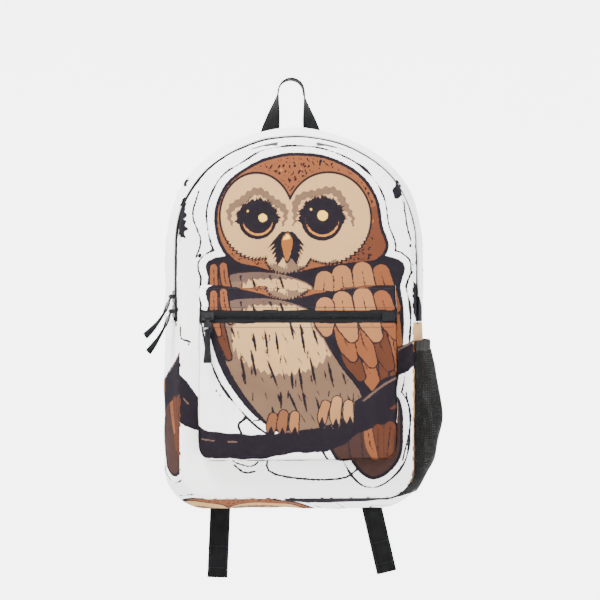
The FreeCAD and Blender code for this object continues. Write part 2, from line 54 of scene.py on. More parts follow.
# the bag's outline, its depths and its soft folds
bag = {
    "top": -0.070, "height": 0.450, "halfWidth": 0.153,
    "domeRadius": 0.175, "shoulderRadius": 0.131, "cornerRadius": 0.052, "domeAngle": math.radians(30),
    "frontY": -0.130, "backY": -0.002, "frontInset": 0.018, "backInset": 0.0076,
    "flatFront": -0.080, "flatBack": -0.036,
    "zipFront": -0.122, "zipBack": -0.110, "zipEndZ": -0.298,
    "folds": 0.0011,  # height of its soft folds
    "crown": 0.0062, "crownReach": 0.028, "edgeCrown": 0.0026, "proud": 0.0014,  # how the front swells
}


def waves(p, size, seed, count=14):
    # smooth random field: a sum of plane waves of about the given size, in random directions
    r = np.random.default_rng(seed)
    k = r.normal(size=(count, p.shape[-1]))
    k /= np.linalg.norm(k, axis=1, keepdims=True)
    k *= (2 * math.pi / size) * r.uniform(0.6, 1.5, (count, 1))
    return np.sin(p @ k.T + r.uniform(0, 2 * math.pi, count)).sum(-1) / math.sqrt(count / 2)


def outlineParts():
    b = bag
    gap = b["domeRadius"] - b["shoulderRadius"]
    flat = b["halfWidth"] - b["cornerRadius"]
    domeZ = b["top"] - b["domeRadius"]
    shoulderX, shoulderZ = gap * math.sin(b["domeAngle"]), domeZ + gap * math.cos(b["domeAngle"])
    cornerZ = b["top"] - b["height"] + b["cornerRadius"]
    lengths = [b["domeRadius"] * b["domeAngle"], b["shoulderRadius"] * (math.pi / 2 - b["domeAngle"]),
               shoulderZ - cornerZ, b["cornerRadius"] * math.pi / 2, flat]
    return domeZ, shoulderX, shoulderZ, cornerZ, flat, np.cumsum(lengths)


def outlineAt(s):
    # x, z and outward normal of the outline at arc length s, clockwise from the middle of the top
    b = bag
    domeZ, shoulderX, shoulderZ, cornerZ, flat, ends = outlineParts()
    total = 2 * ends[-1]
    t = np.mod(s, total)
    side = np.where(t > total / 2, -1.0, 1.0)
    t = np.where(t > total / 2, total - t, t)
    seg = np.clip(np.searchsorted(ends, t), 0, 4)
    u = t - np.concatenate([[0], ends[:-1]])[seg]
    ones = np.ones_like(u)
    angle = np.select([seg == 0, seg == 1, seg == 2, seg == 3],
                      [u / b["domeRadius"], b["domeAngle"] + u / b["shoulderRadius"], ones * math.pi / 2,
                       math.pi / 2 + u / b["cornerRadius"]], ones * math.pi)
    r = np.select([seg == 0, seg == 1, seg == 3], [b["domeRadius"], b["shoulderRadius"], b["cornerRadius"]],
                  0.0)
    cx = np.select([seg == 0, seg == 1, seg == 2, seg == 3], [0.0, shoulderX, b["halfWidth"], flat],
                   flat - u)
    cz = np.select([seg == 0, seg == 1, seg == 2, seg == 3], [domeZ, shoulderZ, shoulderZ - u, cornerZ],
                   b["top"] - b["height"])
    nx, nz = np.sin(angle), np.cos(angle)
    return (cx + r * nx) * side, cz + r * nz, nx * side, nz


def insetAt(y):
    # how far the outline is drawn in at depth y: most at the two seams, nothing in the middle
    b = bag
    f = np.clip((b["flatFront"] - y) / (b["flatFront"] - b["frontY"]), 0, 1)
    g = np.clip((y - b["flatBack"]) / (b["backY"] - b["flatBack"]), 0, 1)
    return b["frontInset"] * f**1.06 + b["backInset"] * g**1.5


outlineLength = 2 * outlineParts()[5][-1]
zipEndS = outlineParts()[5][1] + outlineParts()[2] - bag["zipEndZ"]


def surface(name, points, loopU=False, loopV=False, caps=False, fields=None, along=None, across=None):
    # quads over a two-parameter grid of points; loops close it on itself, caps close its two open ends
    nu, nv = points.shape[:2]
    i = np.arange(nu if loopU else nu - 1)
    j = np.arange(nv if loopV else nv - 1)
    i0, j0 = [a.ravel() for a in np.meshgrid(i, j, indexing="ij")]
    i1, j1 = i0 + 1, j0 + 1
    quads = np.stack([(a % nu) * nv + b % nv for a, b in ((i0, j0), (i0, j1), (i1, j1), (i1, j0))], 1)
    faces = quads.tolist()
    if caps:
        faces += [list(range(nv))[::-1], [(nu - 1) * nv + k for k in range(nv)]]
    mesh = bpy.data.meshes.new(name)
    mesh.from_pydata(points.reshape(-1, 3).tolist(), [], faces)
    if along is not None:
        ua = np.stack([np.append(along, 2 * along[-1] - along[-2])[a] for a in (i0, i0, i1, i1)], 1)
        va = np.stack([np.append(across, 2 * across[-1] - across[-2])[a] for a in (j0, j1, j1, j0)], 1)
        uv = np.zeros((len(mesh.loops), 2), np.float32)
        uv[: ua.size, 0], uv[: va.size, 1] = ua.ravel(), va.ravel()
        mesh.uv_layers.new(name="weave").data.foreach_set("uv", uv.ravel())
    for key, value in (fields or {}).items():
        layer = mesh.attributes.new(key, "FLOAT", "POINT")
        layer.data.foreach_set("value", np.ascontiguousarray(value, np.float32).ravel())
    mesh.validate()
    mesh.shade_smooth()
    obj = bpy.data.objects.new(name, mesh)
    bpy.context.scene.collection.objects.link(obj)
    return obj


def mended(obj, distance=2e-6):
    # merges doubled points, then turns every face outwards
    bm = bmesh.new()
    bm.from_mesh(obj.data)
    bmesh.ops.remove_doubles(bm, verts=bm.verts, dist=distance)
    bmesh.ops.dissolve_degenerate(bm, edges=bm.edges, dist=1e-7)
    bmesh.ops.recalc_face_normals(bm, faces=bm.faces)
    bm.to_mesh(obj.data)
    bm.free()
    obj.data.shade_smooth()
    return obj


def ribbonAlong(name, centres, widths, thicks, widthDirs, rows=7):
    # a flat strip with rounded edges carried along a line of centres, with a width direction at each
    centres, widthDirs = np.asarray(centres, float), np.asarray(widthDirs, float)
    n = len(centres)
    ahead = np.gradient(centres, axis=0)
    ahead /= np.linalg.norm(ahead, axis=1, keepdims=True)
    wide = widthDirs - (widthDirs * ahead).sum(1, keepdims=True) * ahead
    wide /= np.linalg.norm(wide, axis=1, keepdims=True)
    face = np.cross(ahead, wide)
    widths, thicks = np.broadcast_to(widths, n), np.broadcast_to(thicks, n)
    u = np.linspace(-1, 1, rows)
    edge = np.sqrt(np.clip(1 - np.abs(u) ** 8, 0, 1)) * 0.8 + 0.2
    loopW = np.concatenate([u, u[::-1]])
    loopT = np.concatenate([edge, -edge[::-1]]) * 0.5
    pts = (centres[:, None] + wide[:, None] * (loopW[None, :, None] * widths[:, None, None] / 2)
           + face[:, None] * (loopT[None, :, None] * thicks[:, None, None]))
    run = np.concatenate([[0], np.cumsum(np.linalg.norm(np.diff(centres, axis=0), axis=1))])
    return mended(surface(name, pts, loopV=True, caps=True, along=run,
                          across=loopW * float(np.mean(widths)) / 2))


def bezierLine(points, count):
    # smooth line through the given points (Catmull-Rom), sampled evenly in its parameter
    p = np.asarray(points, float)
    p = np.vstack([2 * p[0] - p[1], p, 2 * p[-1] - p[-2]])
    t = np.linspace(0, len(p) - 3 - 1e-9, count)
    k = t.astype(int)
    f = (t - k)[:, None]
    a, b, c, d = p[k], p[k + 1], p[k + 2], p[k + 3]
    return 0.5 * (2 * b + (c - a) * f + (2 * a - 5 * b + 4 * c - d) * f**2 + (3 * b - a - 3 * c + d) * f**3)


threadLift = 0.00012  # how far sewing thread stands off its cloth


def stitches(name, lines, normals, pitch=0.0032, length=0.0021, radius=0.00022):
    # rows of short sewn threads: a small six-sided lozenge for every pitch of each line
    verts, faces = [], []
    for line, normal in zip(lines, normals):
        line = np.asarray(line, float)
        normal = np.broadcast_to(np.asarray(normal, float), line.shape)
        run = np.concatenate([[0], np.cumsum(np.linalg.norm(np.diff(line, axis=0), axis=1))])
        at = np.arange(pitch / 2, run[-1], pitch)
        c = np.stack([np.interp(at, run, line[:, k]) for k in range(3)], 1)
        up = np.stack([np.interp(at, run, normal[:, k]) for k in range(3)], 1)
        up /= np.linalg.norm(up, axis=1, keepdims=True)
        ahead = np.stack([np.interp(at + 1e-4, run, line[:, k]) for k in range(3)], 1) - c
        ahead[-1] = ahead[-2] if len(ahead) > 1 else ahead[-1]
        ahead /= np.linalg.norm(ahead, axis=1, keepdims=True) + 1e-12
        side = np.cross(ahead, up)
        c = c + up * threadLift
        ring = [(-0.5, 0, 0), (-0.3, 1, 0.3), (0.3, 1, 0.3), (0.5, 0, 0), (0.3, -1, 0.3), (-0.3, -1, 0.3),
                (-0.3, 0, 1.6), (0.3, 0, 1.6), (0, 0, -1.2)]
        block = np.stack([c + ahead * (a * length) + side * (b * radius * 2) + up * (h * radius)
                          for a, b, h in ring], 1)
        base = sum(len(v) for v in verts)
        verts.append(block.reshape(-1, 3))
        start = base + np.arange(len(at))[:, None] * 9
        for f in ((0, 1, 6), (1, 2, 7), (1, 7, 6), (2, 3, 7), (3, 4, 7), (4, 5, 6), (4, 6, 7), (5, 0, 6),
                  (1, 0, 8), (2, 1, 8), (3, 2, 8), (4, 3, 8), (5, 4, 8), (0, 5, 8)):
            faces.append(start + np.array(f))
    mesh = bpy.data.meshes.new(name)
    mesh.from_pydata(np.vstack(verts).tolist(), [], np.vstack(faces).tolist())
    obj = bpy.data.objects.new(name, mesh)
    bpy.context.scene.collection.objects.link(obj)
    return mended(obj)


def closedLine(points):
    # smooth closed ring through the points
    steps = 7
    p = np.asarray(points, float)
    n = len(p)
    f = (np.arange(steps) / steps)[None, :, None]
    a, b, c, d = [np.roll(p, k, 0)[:, None] for k in (1, 0, -1, -2)]
    q = 0.5 * (2 * b + (c - a) * f + (2 * a - 5 * b + 4 * c - d) * f**2 + (3 * b - a - 3 * c + d) * f**3)
    return q.reshape(n * steps, 2)


def ringDistance(x, z, ring):
    # signed distance to a closed ring, less than nothing inside
    best = np.full(x.shape, 1e9)
    inside = np.zeros(x.shape, bool)
    for a, b in zip(np.roll(ring, 1, 0), ring):
        ex, ez = b - a
        wx, wz = x - a[0], z - a[1]
        t = np.clip((wx * ex + wz * ez) / (ex * ex + ez * ez + 1e-9), 0, 1)
        best = np.minimum(best, (wx - ex * t) ** 2 + (wz - ez * t) ** 2)
        crosses = (a[1] > z) != (b[1] > z)
        inside ^= crosses & (wx < ex * wz / (ez if abs(ez) > 1e-9 else 1e-9))
    return np.where(inside, -1, 1) * np.sqrt(best)


def strokeDistance(x, z, line, widths):
    # distance to a line drawn with a brush whose half width changes from point to point
    best = np.full(x.shape, 1e9)
    line, widths = np.asarray(line, float), np.broadcast_to(widths, len(line))
    for a, b, wa, wb in zip(line[:-1], line[1:], widths[:-1], widths[1:]):
        e = b - a
        t = np.clip(((x - a[0]) * e[0] + (z - a[1]) * e[1]) / (e @ e + 1e-9), 0, 1)
        best = np.minimum(best, np.hypot(x - a[0] - e[0] * t, z - a[1] - e[1] * t) - (wa + (wb - wa) * t))
    return best


def chance(i, j, seed):
    # a repeatable random number for each cell
    v = np.sin(i * 127.1 + j * 311.7 + seed * 74.7) * 43758.5453
    return v - np.floor(v)


def spots(x, z, cell, small, large, seed):
    # one round spot of its own size and place in every cell
    best = np.full(x.shape, 1e9)
    ci, cj = np.floor(x / cell), np.floor(z / cell)
    for di in (-1, 0, 1):
        for dj in (-1, 0, 1):
            i, j = ci + di, cj + dj
            px = (i + 0.15 + 0.7 * chance(i, j, seed)) * cell
            pz = (j + 0.15 + 0.7 * chance(i, j, seed + 1)) * cell
            r = small + (large - small) * chance(i, j, seed + 2) ** 2
            best = np.minimum(best, np.hypot(x - px, z - pz) - r)
    return best


def streaks(x, z, cellX, cellZ, half, width, seed):
    # one upright tapering dash in every cell
    best = np.full(x.shape, 1e9)
    ci, cj = np.floor(x / cellX), np.floor(z / cellZ)
    for di in (-1, 0, 1):
        for dj in (-1, 0, 1):
            i, j = ci + di, cj + dj
            px = (i + 0.2 + 0.6 * chance(i, j, seed)) * cellX
            pz = (j + 0.2 + 0.6 * chance(i, j, seed + 1)) * cellZ
            h = half * (0.5 + 0.8 * chance(i, j, seed + 2))
            t = np.clip((z - pz) / h, -1, 1)
            lean = (chance(i, j, seed + 3) - 0.5) * 5 * t
            best = np.minimum(best, np.hypot(x - px - lean, z - pz - t * h) - width * (1 - 0.75 * t * t))
    return best


def roughness(x, z, size, seed):
    return waves(np.stack([x, z], -1), size, seed, 10)


# a plain owl on a branch, drawn in millimetres round the middle of its head
owl = {
    "place": (5.0, -190.0),  # origin of the drawing on the front panel
    "head": [(-7, 85), (30, 81), (66, 62), (86, 34), (92, 2), (99, -22), (86, -38), (56, -42), (20, -47),
             (-19, -55),
             (-50, -47), (-76, -40), (-93, -20), (-99, 8), (-95, 32), (-81, 55), (-53, 74), (-30, 82)],
    "lobes": [((-52, 13), (42, 50)), ((31, 11), (49, 53))],
    "middle": [(-26, 8), (2, 8), (12, -26), (6, -44), (-19, -54), (-40, -44), (-40, -20)],
    "eyes": [((-51, 8), 21.5), ((23, 9), 24.0)],
    "lights": [((-45, 11), 4.9), ((24, 14), 6.0)],
    "beak": [(-17, -5), (-10, -13), (-11, -25), (-17, -40), (-23, -25), (-24, -13)],
    "body": [(-88, -34), (-106, -60), (-104, -92), (-90, -134), (-66, -170), (-40, -194), (0, -214),
             (50, -212),
             (100, -200), (112, -160), (117, -110), (113, -70), (100, -34)],
    "breast": [(-92, -58), (-52, -50), (-10, -56), (16, -70), (26, -98), (44, -128), (66, -158), (68, -184),
               (30, -206), (-24, -204), (-56, -176), (-84, -134), (-96, -94)],
    "tail": [(28, -206), (70, -196), (110, -196), (116, -240), (112, -266), (96, -284), (80, -288),
             (64, -276),
             (46, -246)],
    "branch": [(-216, -118), (-184, -146), (-152, -182), (-124, -212), (-88, -219), (-40, -218), (0, -215),
               (36, -206), (68, -183), (98, -160), (126, -146), (170, -120)],
    "branchWidths": [13, 15, 17, 18, 14, 13, 13, 14, 16, 15, 13, 12],
    # feathers from the back to the front: root, tip, half width, colour
    "feathers": [
        ((-97, -52), (-84, -118), 7, "brown"), ((-101, -46), (-95, -92), 6, "orange"),
        ((-90, -44), (-82, -78), 6, "orange"), ((104, -104), (103, -172), 12, "brown"),
        ((86, -104), (95, -166), 12, "brown"), ((66, -104), (84, -154), 12, "orange"),
        ((48, -96), (66, -140), 11, "brown"), ((104, -80), (111, -132), 11, "orange"),
        ((84, -80), (99, -128), 12, "brown"), ((64, -82), (79, -124), 12, "orange"),
        ((44, -84), (57, -118), 11, "orange"), ((92, -52), (108, -92), 13, "orange"),
        ((70, -50), (84, -94), 14, "fawn"), ((46, -54), (56, -94), 14, "fawn"),
        ((26, -60), (27, -88), 13, "fawn"), ((50, -202), (66, -262), 8, "umber"),
        ((66, -200), (80, -268), 8, "umber"), ((100, -198), (101, -262), 9, "brown"),
        ((86, -200), (92, -254), 8, "brown"), ((74, -200), (84, -236), 7, "orange"),
    ],
    "toes": [((-34, -186), (-36, -205), 6.6, "orange"), ((-22, -183), (-23, -206), 6.8, "orange"),
             ((-9, -184), (-9, -205), 6.6, "fawn"), ((26, -172), (22, -195), 6.6, "fawn"),
             ((39, -168), (38, -196), 7.4, "wheat"), ((52, -172), (54, -194), 6.8, "wheat")],
    # loose lines of the pen beside the owl, with their half widths
    "penLines": [
        ([(-118, 42), (-125, 14), (-116, -14), (-121, -34)], 1.015),
        ([(112, 60), (124, 34), (132, 16)], 0.87),
        ([(118, 36), (122, 4), (127, -14)], 1.015), ([(-150, -60), (-146, -84), (-152, -100)], 0.87),
        ([(-38, -258), (-37, -280), (4, -289), (48, -288), (66, -276)], 1.16),
        ([(-38, -258), (-4, -254), (20, -247), (46, -252), (60, -262)], 0.87),
        ([(-80, -258), (-78, -268), (-60, -274), (-50, -268), (-62, -261)], 0.87),
        ([(-78, -272), (-66, -281), (-54, -280)], 1.16), ([(121, -190), (126, -226), (117, -268)], 1.015),
        ([(-152, -106), (-140, -112), (-139, -126), (-128, -131)], 1.16),
        ([(-70, -204), (-73, -194), (-66, -188)], 1.45), ([(-56, -190), (-48, -189)], 0.87),
    ],
    # drops of ink: x, z and radius
    "drops": [
        (-117, -32, 2.2), (-66, -187, 2.0), (-98, -156, 1.3), (-94, -161, 1.0), (-43, -178, 1.5),
        (126, -20, 1.6),
        (128, -52, 1.2), (-130, -134, 1.0), (119, 74, 1.2),
    ],
}


def inkedShapes(x, z, shapes, line):
    # rounded strokes laid over one another: what shows of each inside its inked edge, by colour
    shown, cover = {}, np.full(x.shape, 1e9)
    for (ax, az), (bx, bz), half, colour in reversed(shapes):
        bend = ((ax + bx) / 2 + (bz - az) * 0.06, (az + bz) / 2)
        d = strokeDistance(x, z, bezierLine([(ax, az), bend, (bx, bz)], 7),
                           np.interp(np.linspace(0, 1, 7), [0, 0.6, 1], [half * 0.9, half, half * 0.62]))
        seen = np.maximum(d + line, -cover)
        shown[colour] = np.minimum(shown.get(colour, 1e9), seen)
        quill = strokeDistance(x, z, [(ax, az), bend, (bx - (bx - ax) * 0.25, bz - (bz - az) * 0.25)],
                               [0.5, 0.8, 0.2])
        shown["vein"] = np.minimum(shown.get("vein", 1e9), np.maximum(quill, np.maximum(d + 2.2, -cover)))
        cover = np.minimum(cover, d)
    return shown, cover


def union(*shapes):
    # signed distance to whichever shape is nearest
    return functools.reduce(np.minimum, shapes)


def overlap(*shapes):
    # signed distance to what all the shapes share
    return functools.reduce(np.maximum, shapes)


def ringOf(x, z, part):
    return ringDistance(x, z, closedLine(owl[part]))


def owlFace(x, z):
    # two joined discs with a toothed lower edge, and round each eye its ring, gleam, lashes and shading
    face = ringOf(x, z, "middle")
    eyes, rings, gold, lashes, shade, tufts = (np.full(x.shape, 9.0) for _ in range(6))
    for (cx, cz), (rx, rz) in owl["lobes"]:
        face = union(face, (np.hypot((x - cx) / rx, (z - cz) / rz) - 1) * min(rx, rz) * 1.02)
    turn = np.arctan2(z - 8, x + 12)
    teeth_ = np.abs(np.mod(turn * 19 + 0.8 * np.sin(turn * 6), 1) - 0.5) * 2
    face = face + np.clip(-(z - 2) / 30, 0, 1) * (3.6 * teeth_ - 1.2)
    for number, ((cx, cz), r) in enumerate(owl["eyes"]):
        d, a = np.hypot(x - cx, z - cz), np.arctan2(z - cz, x - cx)
        eyes = union(eyes, d - r)
        crescent = np.abs(np.hypot(x - cx - 0.5, z - cz - 1.0) - r * 0.80)
        crescent = crescent - 1.25 * np.clip(-np.sin(a) * 1.6, 0, 1)
        rings = union(rings, np.where(z < cz + 2, crescent, 9.0))
        hair = np.abs(np.mod(a * 36 / math.pi, 1) - 0.5) * (math.pi / 36) * d
        reach = 5.5 + 3.5 * np.sin(a * 31) * np.cos(a * 17)
        upper = (np.sin(a) > -0.15) & (d > r - 1)
        lashes = union(lashes, np.where(upper, hair - 1.7 * (1 - (d - r) / reach), 9.0))
        waist = r + 9.5 + 2.4 * np.sin(a * 5 + 2 * number) + 1.1 * np.sin(a * 27)
        band = np.abs(d - waist) - 4.4 * np.clip(np.sin(a) + 0.45, 0, 1)
        shade = union(shade, np.where(z > cz - 8, band, 9.0))
        gold = union(gold, np.hypot(x - cx + r * 0.52, z - cz - r * 0.50) - 1.5)
    for (cx, cz), r in owl["lights"]:
        gold = union(gold, np.hypot(x - cx, z - cz) - r)
    low = np.abs(np.mod(x / 3.4, 1) - 0.5) * 3.4 + 0.35 * (z + 40)
    shade = union(shade, np.where((face < -1) & (z < -26), low + 2.2 * roughness(x, z, 18, 6), 9.0))
    for side in (-1, 1):
        for k in range(6):
            root = (-17 + side * (5.0 + k * 0.6), -8 - k * 5.0)
            tip = (-17 + side * (23 - k * 2.2), -24 - k * 4.2)
            tufts = union(tufts, strokeDistance(x, z, [root, tip], [3.6, 0.1]))
    return face, eyes, rings, gold, lashes, shade, tufts


def owlCap(x, z, head, face):
    # the head outside the face, its darker side, and its dark and pale specks
    cap = overlap(head + 2.0, -(face - 0.9))
    dark = overlap(cap + 0.5, -(x * 0.9 - z * 0.5 - 62) + 5 * roughness(x, z, 26, 12))
    specks = union(spots(x, z, 5.6, 0.5, 1.7, 21), streaks(x * 0.9 + z * 0.3, z, 6.5, 8.5, 2.8, 0.95, 25))
    pale = overlap(spots(x + 3, z + 4, 15.0, 0.4, 2.2, 31), cap + 4)
    return cap, dark, overlap(specks, np.abs(x + 4) - 86), pale


def owlBreast(x, z, cover):
    # the breast between its feathers: long dark strokes, a paler ragged patch above, and a collar in shade
    fill = overlap(ringOf(x, z, "breast") + 1.2, -(cover - 0.3))
    ragged = 9 * np.abs(np.mod(x / 7.0 + 0.3 * np.sin(x / 11), 1) - 0.5)
    glow = np.hypot((x + 22) / 62.0, (z + 94) / 46.0) * 46 - 46
    cream = overlap(fill + 1.5, glow + ragged, 58 + z + ragged * 0.5)
    slanted = x + z * 0.26
    ribs = union(streaks(slanted, z, 15.5, 38, 14.0, 1.55, 41),
                 streaks(slanted + 6, z + 9, 12, 24, 6.0, 0.8, 44))
    return fill, cream, overlap(ribs, fill + 2.5), overlap(fill, -62 - z)


def owlClaws(x, z):
    claws = np.full(x.shape, 9.0)
    for _, (bx, bz), *_ in owl["toes"]:
        line = [(bx, bz + 9), (bx - 0.3, bz), (bx - 0.8, bz - 9)]
        claws = union(claws, strokeDistance(x, z, line, [0.3, 3.6, 1.4]))
    return claws


def looseLines(x, z, whole):
    # a broken outline that runs round the owl, with the pen lines and drops outside it
    halo = np.abs(whole - 9.6 - 0.9 * roughness(x, z, 70, 8)) - 1.0 - 0.3 * roughness(x, z, 40, 9)
    sketch = np.full(x.shape, 9.0)
    for line, half in owl["penLines"]:
        sketch = union(sketch, strokeDistance(x, z, bezierLine(line, 14), half))
    for px, pz, r in owl["drops"]:
        sketch = union(sketch, np.hypot(x - px, (z - pz) * 0.8) - r)
    return union(halo, sketch, np.abs(np.hypot((x - 129) * 1.3, (z + 46) * 0.8) - 3.6) - 0.6)


def motif(x, z):
    # the layers of the drawing as signed distances, less than nothing where the layer's colour lies
    head, body, tail, beak = (ringOf(x, z, part) for part in ("head", "body", "tail", "beak"))
    whole = union(head, body, tail)
    along = bezierLine(owl["branch"], 60)
    knots = np.linspace(0, 1, len(owl["branchWidths"]))
    branchWidth = np.interp(np.linspace(0, 1, 60), knots, owl["branchWidths"])
    branch = strokeDistance(x, z, along, branchWidth) + roughness(x, z, 34, 5) * 1.1
    face, eyes, rings, gold, lashes, shade, tufts = owlFace(x, z)
    faceEdge = np.where(z > -14, np.abs(face) - 0.95, 9.0)
    fringe = np.where(z <= -14, np.abs(face + 0.6) - 1.0, 9.0)
    cap, dark, specks, pale = owlCap(x, z, head, face)
    seen, cover = inkedShapes(x, z, owl["feathers"], 1.5)
    fill, cream, ribs, collar = owlBreast(x, z, cover)
    toes, toeCover = inkedShapes(x, z, owl["toes"], 1.15)
    claws = owlClaws(x, z)
    ink = union(overlap(specks, cap + 2), ribs, overlap(eyes, face), faceEdge, lashes, fringe,
                overlap(tufts, face + 1), np.abs(beak) - 1.0, seen["vein"], claws)
    light = strokeDistance(x, z, along[10:24] + (0, 5.5), 0.9)
    light = light + np.where(roughness(x, z, 26, 17) > -0.1, 0, 9)
    light = union(light, strokeDistance(x, z, along[44:56] + (-5.0, 10.5), 1.3))
    return {
        "base": union(whole - 1.7, branch, looseLines(x, z, whole)),
        "umber": overlap(tail + 2, -union(branch, claws)), "brown": cap,
        "orange": union(overlap(cap + 0.2, -dark), seen["orange"]), "rust": dark,
        "brownOver": seen["brown"], "umberOver": seen["umber"], "fawn": union(seen["fawn"], pale),
        "tan": union(fill, face + 0.5), "cream": union(cream, overlap(face + 1.3, -shade)),
        "collar": overlap(collar, -(face - 3)), "ink": ink,
        "branchTop": np.where(toeCover < 0, 9.0, branch), "rings": rings, "bark": light,
        "toeInk": toeCover, "toeOrange": toes["orange"], "toeFawn": toes["fawn"], "toeWheat": toes["wheat"],
        "clawInk": claws, "beak": beak + 0.9,
        "gold": union(gold, overlap(beak + 2.4, -13 - z + x * 0.2 + 3)),
    }


# layers from the cloth up: (layer, colour)
printOrder = (
    ("base", "aubergine"), ("umber", "umber"), ("brown", "brown"), ("orange", "orange"), ("rust", "rust"),
    ("umberOver", "umber"), ("brownOver", "brown"), ("tan", "tan"), ("collar", "umberLight"),
    ("cream", "cream"), ("fawn", "fawn"), ("ink", "aubergine"), ("branchTop", "aubergine"),
    ("bark", "umberLight"), ("rings", "amber"), ("toeInk", "aubergine"), ("toeOrange", "fawnDark"),
    ("toeFawn", "fawn"), ("toeWheat", "wheat"), ("clawInk", "aubergine"), ("beak", "beak"),
    ("gold", "gold"),
)


def printAt(x, z, copies):
    # the drawing's layers at points of the cloth, in metres
    layers = {"print_" + key: np.full(x.shape, 9.0) for key, _ in printOrder}
    branchX, branchZ = np.array(owl["branch"], float).T
    branchTop = branchZ + np.array(owl["branchWidths"]) * 1.05
    for dx, dz, high, under in copies:
        lx, lz = x / mm - owl["place"][0] - dx, z / mm - owl["place"][1] - dz
        near = (np.abs(lx) < 225) & (lz < 130) & (lz > -300) & (z / mm < high)
        if under:
            near &= (lz < np.interp(lx, branchX, branchTop)) & (lx < 170)
        for key, value in motif(lx[near], lz[near]).items():
            layer = layers["print_" + key]
            layer[near] = np.minimum(layer[near], np.clip(value, -9, 9))
    return layers


# dark brush marks near the seams: middle, half sizes, turn (mm, degrees)
patches = [
    ((-137, -176), (9, 27), 8), ((121, -142), (7, 17), -30), ((-152, -118), (5, 10), 20),
    ((146, -220), (4, 22), 4), ((-148, -285), (6, 16), -6),
]


def withPatches(fields, x, z):
    d = np.full(x.shape, 9.0)
    for (cx, cz), (hx, hz), turn in patches:
        a = math.radians(turn)
        px, pz = x / mm - cx, z / mm - cz
        u, v = px * math.cos(a) + pz * math.sin(a), -px * math.sin(a) + pz * math.cos(a)
        d = np.minimum(d, (np.hypot(u / hx, v / hz) - 1) * min(hx, hz) + roughness(px, pz, 11, 23) * 1.2)
    fields["print_base"] = np.minimum(fields["print_base"], np.clip(d, -9, 9))
    return fields


# inks of the print
colours = {
    "aubergine": (0.0112, 0.0090, 0.0120), "umber": (0.036, 0.019, 0.016),
    "umberLight": (0.085, 0.052, 0.040), "brown": (0.066, 0.0235, 0.0130), "rust": (0.092, 0.031, 0.0165),
    "orange": (0.150, 0.052, 0.0215), "fawn": (0.225, 0.098, 0.040), "fawnDark": (0.140, 0.056, 0.026),
    "wheat": (0.270, 0.135, 0.056), "tan": (0.118, 0.071, 0.044), "cream": (0.370, 0.220, 0.098),
    "amber": (0.330, 0.130, 0.030), "beak": (0.210, 0.076, 0.020), "gold": (0.620, 0.370, 0.060),
}


def newMaterial(name, rough, specular):
    mat = bpy.data.materials.new(name)
    mat.use_nodes = True
    shader = mat.node_tree.nodes["Principled BSDF"]
    shader.inputs["Roughness"].default_value = rough
    shader.inputs["Specular IOR Level"].default_value = specular
    return mat, mat.node_tree.nodes, mat.node_tree.links, shader


def node(nodes_, kind, **values):
    n = nodes_.new(kind)
    for key, value in values.items():
        if key in n.inputs:
            n.inputs[key].default_value = value
        else:
            setattr(n, key, value)
    return n


def weaveHeight(nodes_, links, pitch):
    # plain weave: one wave across each thread direction, the higher of the two on top
    source = node(nodes_, "ShaderNodeTexCoord").outputs["Object"]
    heights = []
    for turn in (0.0, math.pi / 2):
        turned = node(nodes_, "ShaderNodeMapping")
        turned.inputs["Rotation"].default_value = (0, turn, 0)
        links.new(source, turned.inputs["Vector"])
        w = node(nodes_, "ShaderNodeTexWave", Scale=2 / pitch / 6.283, Distortion=0.4)
        w.inputs["Detail"].default_value = 0
        links.new(turned.outputs["Vector"], w.inputs["Vector"])
        heights.append(w.outputs["Fac"])
    high = node(nodes_, "ShaderNodeMath", operation="MAXIMUM")
    links.new(heights[0], high.inputs[0])
    links.new(heights[1], high.inputs[1])
    return source, high.outputs[0]


def addBump(nodes_, links, shader, heights):
    # bumps in a chain: (height socket, distance in metres, strength)
    last = None
    for socket, distance, strength in heights:
        b = node(nodes_, "ShaderNodeBump", Strength=strength, Distance=distance)
        links.new(socket, b.inputs["Height"])
        if last:
            links.new(last, b.inputs["Normal"])
        last = b.outputs["Normal"]
    links.new(last, shader.inputs["Normal"])


def noiseAt(nodes_, links, source, scale, detail=3.0, rough=0.5):
    n = node(nodes_, "ShaderNodeTexNoise", Scale=scale, Detail=detail, Roughness=rough)
    links.new(source, n.inputs["Vector"])
    return n.outputs["Fac"]


def mixColour(nodes_, links, factor, below, above):
    # colours above and below may be sockets or plain colours
    m = node(nodes_, "ShaderNodeMix", data_type="RGBA")
    for socket, value in ((m.inputs[0], factor), (m.inputs[6], below), (m.inputs[7], above)):
        if isinstance(value, (tuple, float)):
            socket.default_value = (*value, 1.0) if isinstance(value, tuple) else value
        else:
            links.new(value, socket)
    return m.outputs[2]


def rampOf(nodes_, links, socket, low, high, outLow=0.0, outHigh=1.0):
    m = node(nodes_, "ShaderNodeMapRange")
    for key, value in (("From Min", low), ("From Max", high), ("To Min", outLow), ("To Max", outHigh)):
        m.inputs[key].default_value = value
    links.new(socket, m.inputs["Value"])
    return m.outputs["Result"]


